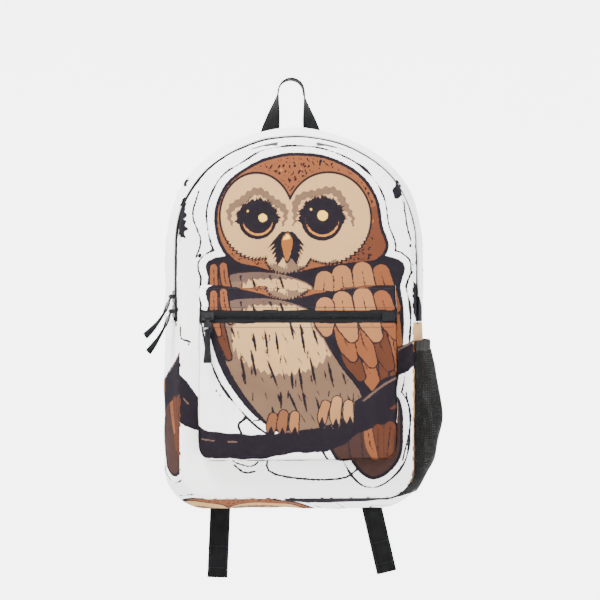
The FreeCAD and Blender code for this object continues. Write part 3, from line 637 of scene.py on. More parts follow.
def printedCloth():
    mat, n, links, shader = newMaterial("printedCloth", rough=0.95, specular=0.02)
    source, weave = weaveHeight(n, links, 0.0007)
    broad = noiseAt(n, links, source, 9.0, 4.0)
    fine = noiseAt(n, links, source, 900.0, 2.0)
    colour = mixColour(n, links, rampOf(n, links, broad, 0.35, 0.7), (0.91, 0.905, 0.885),
                       (0.85, 0.85, 0.84))
    wobble = rampOf(n, links, noiseAt(n, links, source, 330.0, 2.0), 0.3, 0.7, -0.35, 0.35)
    for key, shade in printOrder:
        layer = node(n, "ShaderNodeAttribute", attribute_name="print_" + key)
        shifted = node(n, "ShaderNodeMath", operation="ADD")
        links.new(layer.outputs["Fac"], shifted.inputs[0])
        links.new(wobble, shifted.inputs[1])
        colour = mixColour(n, links, rampOf(n, links, shifted.outputs[0], 0.25, -0.25), colour,
                           colours[shade])
    grain = mixColour(n, links, rampOf(n, links, fine, 0.3, 0.7, 0.0, 0.09), colour, (0.002, 0.002, 0.002))
    links.new(grain, shader.inputs["Base Color"])
    links.new(rampOf(n, links, fine, 0.3, 0.7, 0.80, 0.92), shader.inputs["Roughness"])
    addBump(n, links, shader, [(weave, 0.00010, 0.5), (noiseAt(n, links, source, 60.0, 4.0), 0.0009, 0.35)])
    return mat


def darkCloth(name, low, high, pitch, bump=0.00022, rough=0.82, strength=0.8):
    # woven dark textile: the colour varies broadly and with the threads
    mat, n, links, shader = newMaterial(name, rough=rough, specular=0.03)
    source, weave = weaveHeight(n, links, pitch)
    spread = noiseAt(n, links, source, 14.0, 4.0)
    threads = mixColour(n, links, rampOf(n, links, weave, 0.3, 1.0), low, high)
    worn = mixColour(n, links, rampOf(n, links, spread, 0.45, 0.75, 0.0, 0.45), threads,
                     tuple(1.5 * c for c in high))
    links.new(worn, shader.inputs["Base Color"])
    links.new(rampOf(n, links, spread, 0.3, 0.7, rough - 0.08, rough + 0.06), shader.inputs["Roughness"])
    addBump(n, links, shader, [(weave, bump, strength),
                               (noiseAt(n, links, source, 70.0, 3.0), 0.0006, 0.25)])
    return mat


def ribbedWebbing(name, low, high, rib=0.0011):
    # webbing: herringbone ribs across the strip, from the strip's own map
    mat, n, links, shader = newMaterial(name, rough=0.7, specular=0.035)
    source = node(n, "ShaderNodeUVMap", uv_map="weave").outputs["UV"]
    split = node(n, "ShaderNodeSeparateXYZ")
    links.new(source, split.inputs["Vector"])
    fold = node(n, "ShaderNodeMath", operation="PINGPONG")
    links.new(split.outputs["Y"], fold.inputs[0])
    fold.inputs[1].default_value = 0.0032
    total = node(n, "ShaderNodeMath", operation="MULTIPLY_ADD")
    links.new(fold.outputs[0], total.inputs[0])
    total.inputs[1].default_value = 0.9
    links.new(split.outputs["X"], total.inputs[2])
    joined = node(n, "ShaderNodeCombineXYZ")
    links.new(total.outputs[0], joined.inputs["X"])
    w = node(n, "ShaderNodeTexWave", Scale=2 / rib / 6.283)
    links.new(joined.outputs["Vector"], w.inputs["Vector"])
    spread = noiseAt(n, links, source, 60.0, 3.0)
    colour = mixColour(n, links, w.outputs["Fac"], low, high)
    colour = mixColour(n, links, rampOf(n, links, spread, 0.4, 0.75, 0.0, 0.35), colour,
                       tuple(1.7 * c for c in high))
    links.new(colour, shader.inputs["Base Color"])
    addBump(n, links, shader, [(w.outputs["Fac"], 0.00025, 0.8), (spread, 0.0004, 0.3)])
    return mat


def hardFinish(name, low, high, rough, specular, scale=260.0):
    # moulded or coated hard piece: faint grain in colour, gloss and surface
    mat, n, links, shader = newMaterial(name, rough=rough, specular=specular)
    source = node(n, "ShaderNodeTexCoord").outputs["Object"]
    grain = noiseAt(n, links, source, scale, 5.0, 0.65)
    links.new(mixColour(n, links, rampOf(n, links, grain, 0.35, 0.68), low, high),
              shader.inputs["Base Color"])
    links.new(rampOf(n, links, grain, 0.3, 0.7, rough - 0.09, rough + 0.12), shader.inputs["Roughness"])
    addBump(n, links, shader, [(grain, 0.00006, 0.5)])
    return mat


net = {
    "mouth": -0.320, "foot": -0.5005, "elastic": 0.0125, "front": -0.1265, "back": -0.0085,
    "swell": ((0, 8.0), (12, 11.0), (30, 16.5), (65, 21.5), (95, 24.2), (121, 21.8), (140, 16.5), (159, 9.0),
              (182, 2.4)),
    "hole": 0.0028,  # pitch of the knit's holes
    # height of its gathers and fold, and how far it stands off
    "gather": 0.0009, "fold": 0.0042, "clear": 0.0034,
}


def netting():
    # knit net: thin enough to see through a little where two slanting waves are both high or both low
    mat, n, links, shader = newMaterial("netting", rough=0.8, specular=0.03)
    source = node(n, "ShaderNodeUVMap", uv_map="weave").outputs["UV"]
    split = node(n, "ShaderNodeSeparateXYZ")
    links.new(source, split.inputs["Vector"])
    waves_ = []
    for sign in (1.0, -1.0):
        slant = node(n, "ShaderNodeMath", operation="MULTIPLY_ADD")
        links.new(split.outputs["X"], slant.inputs[0])
        slant.inputs[1].default_value = sign * 0.62
        links.new(split.outputs["Y"], slant.inputs[2])
        phase = node(n, "ShaderNodeMath", operation="MULTIPLY")
        links.new(slant.outputs[0], phase.inputs[0])
        phase.inputs[1].default_value = math.pi / net["hole"]
        wave = node(n, "ShaderNodeMath", operation="SINE")
        links.new(phase.outputs[0], wave.inputs[0])
        waves_.append(wave.outputs[0])
    both = node(n, "ShaderNodeMath", operation="MULTIPLY")
    links.new(waves_[0], both.inputs[0])
    links.new(waves_[1], both.inputs[1])
    shift = noiseAt(n, links, source, 400.0, 2.0)
    knit = node(n, "ShaderNodeMath", operation="MULTIPLY_ADD")
    links.new(shift, knit.inputs[0])
    knit.inputs[1].default_value = 0.08
    links.new(both.outputs[0], knit.inputs[2])
    tone = mixColour(n, links, noiseAt(n, links, source, 90.0, 3.0), (0.0030, 0.0029, 0.0028),
                     (0.0105, 0.0100, 0.0095))
    links.new(tone, shader.inputs["Base Color"])
    links.new(rampOf(n, links, knit.outputs[0], 0.62, 0.46, 0.78, 1.0), shader.inputs["Alpha"])
    addBump(n, links, shader, [(both.outputs[0], 0.0004, 0.8)])
    return mat


finish = {
    "printed": printedCloth(),
    "black": darkCloth("blackCloth", (0.0025, 0.0025, 0.0027), (0.0075, 0.0075, 0.008), 0.0011),
    "tape": darkCloth("zipTape", (0.0040, 0.0040, 0.0044), (0.0105, 0.0106, 0.0115), 0.0009, rough=0.72),
    "coil": hardFinish("nylonCoil", (0.0035, 0.0035, 0.004), (0.008, 0.008, 0.009), 0.45, specular=0.12),
    "lining": darkCloth("liningCloth", (0.04, 0.042, 0.046), (0.085, 0.087, 0.094), 0.0008),
    "sleeve": darkCloth("sleeveCloth", (0.02, 0.021, 0.024), (0.050, 0.052, 0.057), 0.0012),
    "foam": darkCloth("foamSheet", (0.12, 0.12, 0.12), (0.20, 0.20, 0.195), 0.0016),
    "webbing": ribbedWebbing("blackWebbing", (0.0022, 0.0022, 0.0024), (0.0088, 0.0088, 0.0094)),
    "ribbon": ribbedWebbing("pullRibbon", (0.0035, 0.0037, 0.0040), (0.0150, 0.0155, 0.0165), 0.0008),
    "elastic": ribbedWebbing("elasticBand", (0.0065, 0.0062, 0.0060), (0.0230, 0.0215, 0.0205), 0.0016),
    "netting": netting(),
    "metal": hardFinish("coatedMetal", (0.0035, 0.0035, 0.0040), (0.010, 0.010, 0.011), 0.42, specular=0.16),
    "plastic": hardFinish("mouldedPlastic", (0.0040, 0.0040, 0.0044), (0.010, 0.010, 0.011), 0.48,
                          specular=0.15),
    "darkThread": hardFinish("darkThread", (0.010, 0.0105, 0.012), (0.032, 0.033, 0.036), 0.7, scale=900.0,
                             specular=0.05),
    "strap": darkCloth("strapCloth", (0.0026, 0.0026, 0.0029), (0.0080, 0.0080, 0.0088), 0.0016,
                       bump=0.0003),
    "back": darkCloth("backCloth", (0.0026, 0.0026, 0.0029), (0.0190, 0.0190, 0.0205), 0.0026, bump=0.0006,
                      strength=1.0),
}


def dressed(obj, material, body="bag", stands=()):
    obj.data.materials.clear()
    obj.data.materials.append(finish[material])
    if body:
        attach(obj, body)
    if stands:
        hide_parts(*stands)
    return obj


def sewn(name, rows, normals, slot, body="bag", **thread):
    # dark thread along rows of points
    return dressed(stitches(name, rows, normals, **thread), "darkThread", body=body)


print("stage: materials made")

view = {"azimuth": math.radians(-3.5), "distance": 1.72, "aim": (0.0033, -0.130, -0.273), "focal": 89.5}


# place, what it points at, size (metres) and power (watts)
lamps = {
    "keyLight": ((-0.85, -1.0, 1.35), (0, 0, -0.2), 0.8, 120),
    "fillLight": ((1.9, -1.9, 0.1), (0, 0, -0.3), 1.8, 34),
    "topLight": ((0.0, 0.1, 1.7), (0, 0, -0.3), 1.6, 18),
    "backLight": ((0.3, 1.1, 1.1), (0, 0, -0.3), 1.4, 14),
}
studio = {"floor": -1.40, "reach": 4.2, "bend": 1.2, "high": 5.0, "glow": (0.40, 3.0), "sky": 0.5}


def cameraAndStage():
    data = bpy.data.cameras.new("frontCamera")
    data.lens, data.sensor_width = view["focal"], 36.0
    data.clip_end = 50
    cam = bpy.data.objects.new("frontCamera", data)
    a = view["azimuth"]
    cam.location = (view["aim"][0] + view["distance"] * math.sin(a),
                    view["aim"][1] - view["distance"] * math.cos(a),
                    view["aim"][2])
    cam.rotation_euler = (math.pi / 2, 0, a)
    bpy.context.scene.collection.objects.link(cam)
    bpy.context.scene.camera = cam

    # floor that curves up into a pale wall all round
    floorZ, reach, bend = studio["floor"], studio["reach"], studio["bend"]
    turn = np.linspace(0, math.pi / 2, 20)
    r = np.concatenate([[0.001, 1.0, 2.0], reach - bend + bend * np.sin(turn), [reach]])
    z = np.concatenate([[floorZ] * 3, floorZ + bend - bend * np.cos(turn), [studio["high"]]])
    round_ = np.linspace(0, 2 * math.pi, 96, endpoint=False)
    grid = np.stack([r[None] * np.cos(round_[:, None]), r[None] * np.sin(round_[:, None]),
                     np.broadcast_to(z, (96, len(z)))], -1)
    sweep = surface("backdrop", grid, loopU=True)
    mat, n, links, shader = newMaterial("backdropPaint", rough=0.9, specular=0.1)
    source = node(n, "ShaderNodeTexCoord").outputs["Object"]
    tone = mixColour(n, links, noiseAt(n, links, source, 2.0, 4.0), (0.86, 0.86, 0.86), (0.89, 0.89, 0.89))
    links.new(tone, shader.inputs["Base Color"])
    # the wall behind glows, the rest only softly
    split = node(n, "ShaderNodeSeparateXYZ")
    links.new(source, split.inputs["Vector"])
    glow = rampOf(n, links, split.outputs["Y"], 0.8, 2.4, *studio["glow"])
    links.new(tone, shader.inputs["Emission Color"])
    links.new(glow, shader.inputs["Emission Strength"])
    sweep.data.materials.append(mat)

    def lamp(name, place, target, size, power):
        light = bpy.data.lights.new(name, "AREA")
        light.shape, light.size, light.energy = "DISK", size, power
        obj = bpy.data.objects.new(name, light)
        obj.location = place
        d = np.array(place) - np.array(target)
        obj.rotation_euler = (math.atan2(math.hypot(d[0], d[1]), d[2]), 0,
                              math.atan2(d[1], d[0]) + math.pi / 2)
        bpy.context.scene.collection.objects.link(obj)

    for name, setting in lamps.items():
        lamp(name, *setting)
    world = bpy.data.worlds.new("studio")
    world.use_nodes = True
    world.node_tree.nodes["Background"].inputs["Color"].default_value = (0.92, 0.95, 1.0, 1)
    world.node_tree.nodes["Background"].inputs["Strength"].default_value = studio["sky"]
    bpy.context.scene.world = world


cameraAndStage()
print("stage: camera and lights")


# each copy of the drawing: its shift in x and z, the height it stays below, and whether it shows only the
# branch and what is under it
bodyCopies = [(0, 0, 0, False)]
zipCopies = [(-318, -60, 0, False), (322, 60, 0, False)]
sideCopies = [(-242, 0, 0, True), (-70, -392, 0, False), (124, -96, -299, False)]
pocketCopies = [(0, -30, 0, False)]
seam = {"cell": 0.00135, "bandCell": 0.0019, "groove": 0.0022, "pucker": 0.00045, "pitch": 0.011,
        "lip": 0.0018}


def rim(s, inset):
    x, z, nx, nz = outlineAt(s)
    return np.stack([x - inset * nx, z - inset * nz], -1)


def toRim(x, z, inset):
    # distance inwards from the outline that is drawn in by inset
    b = bag
    domeZ, shoulderX, shoulderZ, cornerZ, flat, _ = outlineParts()
    ax = np.abs(x)
    d = np.minimum(b["halfWidth"] - ax, z - (b["top"] - b["height"]))
    d = np.where(z > domeZ, np.minimum(d, b["domeRadius"] - np.hypot(ax, z - domeZ)), d)
    d = np.where((z > shoulderZ) & (ax > shoulderX),
                 np.minimum(d, b["shoulderRadius"] - np.hypot(ax - shoulderX, z - shoulderZ)), d)
    corner = b["cornerRadius"] - np.hypot(ax - flat, z - cornerZ)
    d = np.where((z < cornerZ) & (ax > flat), np.minimum(d, corner), d)
    return np.maximum(d - inset, 0)


def panelGrid(inset, cell):
    # four-sided patch inside the outline, from shoulder to shoulder and between the bottom corners
    ends = outlineParts()[5]
    shoulder = ends[0] + 0.42 * (ends[1] - ends[0])
    corner = (ends[2] + ends[3]) / 2
    half = outlineLength / 2
    u = np.linspace(0, 1, int(2 * (bag["halfWidth"] - inset) / cell) + 1)[:, None]
    v = np.linspace(0, 1, int((bag["height"] - 2 * inset) / cell) + 1)[None, :]
    top = rim(-shoulder + 2 * shoulder * u, inset)
    bottom = rim(outlineLength - corner - 2 * (half - corner) * u, inset)
    left = rim(-shoulder - (corner - shoulder) * v, inset)
    right = rim(shoulder + (corner - shoulder) * v, inset)
    a, b, c, d = top[:1], top[-1:], bottom[:1], bottom[-1:]
    u, v = u[..., None], v[..., None]
    p = ((1 - v) * top + v * bottom + (1 - u) * left + u * right
         - (1 - u) * (1 - v) * a - u * (1 - v) * b - (1 - u) * v * c - u * v * d)
    return p[..., 0], p[..., 1]


def puckers(s, away, seed):
    # small gathers along a seam that fade with the distance away from it
    r = np.random.default_rng(seed)
    wave = 0
    for k in (0.8, 1.0, 1.37, 2.1):
        wave = wave + np.sin(2 * math.pi * s / (seam["pitch"] * k) + r.uniform(0, 6.28)) / 3
    return seam["pucker"] * wave * np.exp(-away / 0.009)


def frontPanel():
    # face that swells inwards from its seam, with broad soft folds and a groove along the seam
    x, z = panelGrid(bag["frontInset"], seam["cell"])
    d = toRim(x, z, bag["frontInset"])
    turn = np.arctan2(x, z + 0.29) * 0.2
    place = np.stack([x, z], -1)
    folds = bag["folds"] * (waves(place, 0.17, 41) + 0.45 * waves(place, 0.06, 42)) * (1 - np.exp(-d / 0.02))
    crown = bag["crown"] * (1 - np.exp(-d / bag["crownReach"]))
    crown = crown + bag["edgeCrown"] * (1 - np.exp(-d / seam["groove"]))
    y = bag["frontY"] + bag["proud"] - crown - folds - puckers(turn, d, 43)
    fields = withPatches(printAt(x, z, bodyCopies), x, z)
    obj = surface("front_panel_cloth", np.stack([x, y, z], -1)[:, ::-1],
                  fields={k: v[:, ::-1] for k, v in fields.items()})
    dressed(obj, "printed", stands=["front_panel"])
    size = (2 * (bag["halfWidth"] - bag["frontInset"]), bag["height"] - 2 * bag["frontInset"])
    return obj, size


def bandCloth(name, s0, s1, y0, y1, lips=(False, False), stands=(), copies=zipCopies):
    # side band between two lengths of the outline and two depths; a lip turns its edge down beside the zip
    cell, lip = seam["bandCell"], seam["lip"]
    s = np.linspace(s0, s1, max(2, int((s1 - s0) / cell)))
    y = np.linspace(y0, y1, max(3, int((y1 - y0) / cell)))
    lift = np.zeros_like(y)
    if lips[0]:
        y = np.concatenate([[y0, y0 - 0.0003, y0], y[1:]])
        lift = np.concatenate([[-lip, -lip / 3, 0.0], lift[1:]])
    if lips[1]:
        y = np.concatenate([y[:-1], [y1, y1 + 0.0003, y1]])
        lift = np.concatenate([lift[:-1], [0.0, -lip / 3, -lip]])
    S, Y = np.meshgrid(s, y, indexing="ij")
    x, z, nx, nz = outlineAt(S)
    fromFront, fromBack = np.abs(Y - bag["frontY"]), np.abs(Y - bag["backY"])
    place = np.stack([np.cos(S * 4) * 0.2 + x, Y, z], -1)
    soft = (1 - np.exp(-np.minimum(fromFront, fromBack) / 0.012))
    out = bag["folds"] * (0.9 * waves(place, 0.15, 51) + 0.35 * waves(place, 0.05, 52)) * soft
    groove = 0.0013 * (np.exp(-fromFront / seam["groove"]) + np.exp(-fromBack / seam["groove"]))
    out = out + puckers(S, fromFront, 53) + puckers(S, fromBack, 54) - groove + lift[None, :]
    inset = insetAt(Y) - out
    front = rim(S, bag["frontInset"]) + np.stack([nx, nz], -1) * (Y - bag["frontY"])[..., None]
    pts = np.stack([x - inset * nx, Y, z - inset * nz], -1)
    fields = withPatches(printAt(front[..., 0], front[..., 1], copies), front[..., 0], front[..., 1])
    return dressed(surface(name, pts, fields=fields, along=s, across=y), "printed", stands=stands)


frontCloth, frontSize = frontPanel()
zipFrontBand = bandCloth("zip_band_front", -zipEndS, zipEndS, bag["frontY"], bag["zipFront"],
                         lips=(False, True),
                         stands=["zip_gusset_front"])
zipRearBand = bandCloth("zip_band_rear", -zipEndS, zipEndS, bag["zipBack"], bag["backY"], lips=(True, False),
                        stands=["zip_gusset_rear"])
sideBand = bandCloth("side_bottom_band", zipEndS, outlineLength - zipEndS, bag["frontY"], bag["backY"],
                     stands=["side_bottom_gusset"], copies=sideCopies)
print("stage: printed body")


def repeated(name, shape, faces, centres, axes):
    # one small shape set at every centre, along its own three axes
    n, m = len(centres), len(shape)
    verts = centres[:, None] + sum(shape[None, :, k, None] * axes[k][:, None] for k in range(3))
    allFaces = []
    for f in faces:
        allFaces += (np.arange(n)[:, None] * m + np.array(f)).tolist()
    mesh = bpy.data.meshes.new(name)
    mesh.from_pydata(verts.reshape(-1, 3).tolist(), [], allFaces)
    obj = bpy.data.objects.new(name, mesh)
    bpy.context.scene.collection.objects.link(obj)
    return mended(obj, 1e-7)


def evenly(line, normal, pitch):
    # points at even steps along a line, with the directions ahead, to the side and out of the cloth
    line = np.asarray(line, float)
    normal = np.broadcast_to(np.asarray(normal, float), line.shape)
    run = np.concatenate([[0], np.cumsum(np.linalg.norm(np.diff(line, axis=0), axis=1))])
    at = np.arange(pitch / 2, run[-1], pitch)

    def along(values, where):
        return np.stack([np.interp(where, run, values[:, k]) for k in range(3)], 1)

    centre, up = along(line, at), along(normal, at)
    ahead = along(line, np.minimum(at + 1e-4, run[-1])) - along(line, at - 1e-4)
    ahead /= np.linalg.norm(ahead, axis=1, keepdims=True)
    up -= (up * ahead).sum(1, keepdims=True) * ahead
    up /= np.linalg.norm(up, axis=1, keepdims=True)
    return centre, ahead, np.cross(up, ahead), up


teeth = {"half": 0.0024, "pitch": 0.0013, "high": 0.0014}


def zipTeeth(name, line, normal, stands):
    # coil teeth: each a thin half ring across the tape, turned a little from its neighbour
    half, pitch, high = teeth["half"], teeth["pitch"], teeth["high"]
    centre, ahead, side, up = evenly(line, normal, pitch)
    t = np.linspace(0, math.pi, 7)
    ringT = np.linspace(0, 2 * math.pi, 5, endpoint=False)
    spine = np.stack([0.15 * pitch * np.cos(t), np.cos(t) * half, np.sin(t) ** 0.6 * high * 0.62], 1)
    r = 0.36 * pitch
    ring = np.stack([np.cos(ringT) * r, np.zeros(5), np.sin(ringT) * r], 1)
    shape = (spine[:, None] + ring[None]).reshape(-1, 3)
    faces = []
    for i in range(6):
        for j in range(5):
            k = (j + 1) % 5
            faces.append((i * 5 + j, i * 5 + k, (i + 1) * 5 + k, (i + 1) * 5 + j))
    obj = repeated(name, shape, faces + [tuple(range(5)), tuple(range(30, 35))], centre, (ahead, side, up))
    return dressed(obj, "coil", stands=stands)


mainZipSet = {"tapeSunk": 0.0016, "teethSunk": 0.0014, "tuck": 0.003, "edge": 0.0015}


def mainZip():
    # tape sunk below the two bands, with the coil's teeth along its middle
    sunk, tuck, edge = mainZipSet["tapeSunk"], mainZipSet["tuck"], mainZipSet["edge"]
    tapeS = np.linspace(-zipEndS - tuck, zipEndS + tuck, 420)
    tapeY = np.linspace(bag["zipFront"] - edge, bag["zipBack"] + edge, 9)
    S, Y = np.meshgrid(tapeS, tapeY, indexing="ij")
    x, z, nx, nz = outlineAt(S)
    middle = (bag["zipFront"] + bag["zipBack"]) / 2
    inset = insetAt(Y) + sunk
    pts = np.stack([x - inset * nx, Y, z - inset * nz], -1)
    tape = dressed(surface("main_zip_cloth", pts, along=tapeS, across=tapeY), "tape",
                   stands=["main_zip_tape"])
    s = np.linspace(-zipEndS + 0.004, zipEndS - 0.002, 900)
    x, z, nx, nz = outlineAt(s)
    inset = insetAt(np.full_like(s, middle)) + mainZipSet["teethSunk"]
    line = np.stack([x - inset * nx, np.full_like(s, middle), z - inset * nz], -1)
    zipTeeth("main_zip_teeth", line, np.stack([nx, np.zeros_like(nx), nz], -1), stands=["main_zip_coil"])
    return tape


mainTape = mainZip()

pocket = {
    "half": 0.113, "top": -0.256, "bottom": -0.455, "base": -0.1352, "face": -0.152, "corner": 0.016,
    "zipTop": -0.285, "zipBottom": -0.299, "lean": 0.003, "bulge": 0.0055, "cell": 0.00125,
    "sunk": 0.0035,  # how far its band's inner edge stops short of the bag's front plane
    "panelSewn": -0.3046, "stripSewn": (-0.2808, -0.2600),  # heights of its topstitching
    "thread": {"pitch": 0.0026, "length": 0.0021, "radius": 0.00019},
}


def pocketFace(z):
    # depth of the pocket's front edge at height z: sloping strip, leaning zip, upright panel
    p = pocket
    return np.interp(z, [p["zipBottom"], p["zipTop"], p["top"]],
                     [p["face"], p["face"] + p["lean"], p["base"]])


def pocketWidth(z):
    p = pocket
    low = np.clip(p["bottom"] + p["corner"] - z, 0, p["corner"])
    return p["half"] - p["corner"] + np.sqrt(np.maximum(p["corner"] ** 2 - low**2, 0))


def pocketCloth(name, z0, z1, node_, bottomRound, lipTop=0.0, lipBottom=0.0, sewnAt=()):
    # upright sheet of the pocket: crowned where it is the panel, with grooves at its seams
    p = pocket
    rows = int((z1 - z0) / p["cell"]) + 2
    v = np.linspace(0, 1, rows)
    if bottomRound:
        v = np.where(v < 0.12, 0.12 * (v / 0.12) ** 1.6, v)
    z = z0 + (z1 - z0) * v
    u = np.linspace(-1, 1, int(2 * p["half"] / p["cell"]))
    U, Z = np.meshgrid(u, z, indexing="ij")
    X = U * pocketWidth(Z)
    fromSide = pocketWidth(Z) - np.abs(X)
    fromLow = Z - p["bottom"]
    d = np.minimum(fromSide, fromLow) if bottomRound else fromSide
    place = np.stack([X, Z], -1)
    y = pocketFace(Z)
    if bottomRound:
        down = np.clip((z1 - Z) / (z1 - z0), 0, 1)
        crown = p["bulge"] * np.sin(math.pi * np.clip(down, 0, 1) ** 0.8) ** 0.8
        crown = crown * (1 - np.exp(-fromSide / 0.03))
        y = y - crown - 0.0012 * waves(place, 0.11, 61) * (1 - np.exp(-d / 0.02)) * down
    else:
        y = y - 0.0006 * waves(place, 0.07, 62) * np.sin(math.pi * (Z - z0) / (z1 - z0))
    y = y - 0.0004 * waves(place, 0.035, 63) * (1 - np.exp(-d / 0.01)) + 0.0019 * np.exp(-d / seam["groove"])
    y = y - puckers(X + 0.3 * Z, np.minimum(d, np.abs(Z - z1)), 64) * 0.8
    for edge, deep in ((z1, lipTop), (z0, lipBottom)):
        y = y + deep * np.exp(-((Z - edge) / 0.0016) ** 2)
    fields = withPatches(printAt(X, Z, pocketCopies), X, Z)
    points = np.stack([X, y, Z], -1)
    obj = surface(name, points, fields=fields)
    rows = [points[3:-3, int(np.argmin(np.abs(z - at)))] for at in sewnAt]
    sewn(name + "_topstitch", rows, [(0, -1, 0)] * len(rows), "printed_cloth", **p["thread"])
    return dressed(obj, "printed", stands=[node_])


def pocketBand():
    # side and bottom band, carried round the pocket's outline from its front edge back to the panel
    p = pocket
    turn = np.linspace(0, math.pi / 2, 16)
    low = p["bottom"] + p["corner"]
    flat = p["half"] - p["corner"]
    side = np.linspace(p["top"], low, 110)
    cornerX, cornerZ = flat + p["corner"] * np.cos(turn), low - p["corner"] * np.sin(turn)
    floor = np.linspace(flat, -flat, 120)[1:-1]
    x = np.concatenate([np.full(110, p["half"]), cornerX[1:], floor, -cornerX[::-1][:-1],
                        np.full(110, -p["half"])])
    z = np.concatenate([side, cornerZ[1:], np.full(len(floor), p["bottom"]), cornerZ[::-1][:-1], side[::-1]])
    run = np.concatenate([[0], np.cumsum(np.hypot(np.diff(x), np.diff(z)))])
    share = np.linspace(0, 1, 12)
    front = pocketFace(z)
    y = front[:, None] + (bag["frontY"] - p["sunk"] - front[:, None]) * share[None]
    out = 0.0011 * np.sin(math.pi * share)[None] * np.clip((p["top"] - z) / 0.03, 0, 1)[:, None]
    nx, nz = np.gradient(z), -np.gradient(x)
    norm = np.hypot(nx, nz)
    nx, nz = -nx / norm, -nz / norm
    spot = np.stack([run[:, None] + 0 * y, y], -1)
    out = out + puckers(run[:, None], share[None] * 0.02, 65) + 0.0005 * waves(spot, 0.05, 66)
    pts = np.stack([x[:, None] + nx[:, None] * out, y, z[:, None] + nz[:, None] * out], -1)
    artX = x[:, None] + nx[:, None] * (y - p["face"])
    artZ = z[:, None] + nz[:, None] * (y - p["face"])
    obj = surface("pocket_band", pts, fields=withPatches(printAt(artX, artZ, pocketCopies), artX, artZ))
    mended(obj)
    return dressed(obj, "printed", stands=["pocket_gusset"])


pocketPanel = pocketCloth("pocket_panel_cloth", pocket["bottom"], pocket["zipBottom"], "pocket_panel", True,
                          lipTop=0.0012,
                          sewnAt=(pocket["panelSewn"],))
pocketStrip = pocketCloth("pocket_strip_cloth", pocket["zipTop"], pocket["top"], "pocket_top_strip", False,
                          lipTop=0.0006,
                          lipBottom=0.0012, sewnAt=pocket["stripSewn"])
pocketBand()


def pocketZip():
    p = pocket
    u = np.linspace(-p["half"] + 0.0012, p["half"] - 0.0012, 160)
    v = np.linspace(0, 1, 9)
    z = p["zipBottom"] - 0.001 + (p["zipTop"] - p["zipBottom"] + 0.002) * v
    X, Z = np.meshgrid(u, z, indexing="ij")
    Y = pocketFace(Z) + 0.0011
    tape = dressed(surface("pocket_zip_cloth", np.stack([X, Y, Z], -1), along=u, across=z), "tape",
                   stands=["pocket_zip_tape"])
    middle = (p["zipTop"] + p["zipBottom"]) / 2
    line = [(x, float(pocketFace(middle)) + 0.0010, middle) for x in (-p["half"] + 0.003, p["half"] - 0.017)]
    line = np.linspace(line[0], line[1], 200)
    zipTeeth("pocket_zip_teeth", line, (0, -0.978, 0.21), stands=["pocket_zip_coil"])
    return tape


pocketTape = pocketZip()
print("stage: pocket and zips")

# CAD nodes that show as they are
for name, material in (
    ("lining", "lining"), ("back_foam", "foam"), ("laptop_sleeve", "sleeve"), ("sleeve_binding", "black"),
    ("sleeve_tab", "black"), ("rear_piping", "black"), ("anchor_tab_left", "black"),
    ("anchor_tab_right", "black"),
    ("main_slider_lower", "metal"), ("main_slider_upper", "metal"), ("pull_tab_lower", "metal"),
    ("pull_tab_upper", "metal"), ("pocket_slider", "metal"), ("pocket_pull_tab", "metal"),
    ("pocket_zip_end", "tape"),
    ("ladder_lock_left", "plastic"), ("ladder_lock_right", "plastic"), ("lock_webbing_left", "black"),
    ("lock_webbing_right", "black"),
):
    mesh = nodes[name].data
    mesh.materials.clear()
    mesh.materials.append(finish[material])


def halfWidthAt(y, z):
    b = bag
    inset = insetAt(y)
    low = np.clip(b["top"] - b["height"] + b["cornerRadius"] - z, 0, None)
    reach = np.sqrt(np.maximum((b["cornerRadius"] - inset) ** 2 - low**2, 1e-9))
    return b["halfWidth"] - b["cornerRadius"] + reach


def netPoint(t, z):
    # t runs from the front seam to the back one; the swell is a parabola between them
    line = bezierLine(net["swell"], 120)
    swell = np.interp((net["mouth"] - z) / mm, line[:, 0], line[:, 1]) * mm
    y = net["front"] + (net["back"] - net["front"]) * t
    middle = (net["front"] + net["back"]) / 2
    ends = halfWidthAt(net["front"], z) * (1 - t) + halfWidthAt(net["back"], z) * t + 0.0012
    sides = (halfWidthAt(net["front"], z) + halfWidthAt(net["back"], z)) / 2
    rise = halfWidthAt(middle, z) + swell - sides - 0.0012
    x = ends + rise * (1 - np.abs(2 * t - 1) ** 2.2)
    return x, y


def meshPocket():
    z = np.linspace(net["mouth"] - net["elastic"] + 0.001, net["foot"], 110)
    t = np.linspace(0, 1, 90)
    T, Z = np.meshgrid(t, z, indexing="ij")
    x, y = netPoint(T, Z)
    down = (net["mouth"] - Z) / (net["mouth"] - net["foot"])
    free = np.sin(math.pi * T) ** 0.5
    atEnds = np.exp(-down / 0.16) + np.exp((down - 1) / 0.12)
    gather = net["gather"] * np.sin(2 * math.pi * T * 14 + 2 * np.sin(T * 9)) * atEnds
    fold = net["fold"] * np.exp(-((T - 0.40 - 0.30 * down) / 0.045) ** 2)
    fold = fold * np.sin(math.pi * np.clip(down, 0, 1)) ** 0.5
    x = x + free * (gather - fold + 0.0012 * waves(np.stack([y, Z], -1), 0.06, 71))
    x = np.maximum(x, halfWidthAt(y, Z) + 0.0008 + net["clear"] * free)
    run = np.linspace(0, 0.150, 90)
    points = np.stack([x, y, Z], -1)
    cloth = surface("mesh_pocket_net", points, along=run, across=net["mouth"] - z)
    dressed(cloth, "netting", stands=["mesh_pocket"])
    edge = np.linspace(0, 1, 70)
    zMid = np.full(70, net["mouth"] - net["elastic"] / 2)
    x, y = netPoint(edge, zMid)
    x = x + 0.0005 * np.sin(edge * 2 * math.pi * 17)
    band = ribbonAlong("mesh_pocket_elastic", np.stack([x, y, zMid], -1), net["elastic"], 0.0022,
                       np.broadcast_to((0.0, 0.0, 1.0), (70, 3)), rows=9)
    dressed(band, "elastic", stands=["mesh_elastic"])


meshPocket()

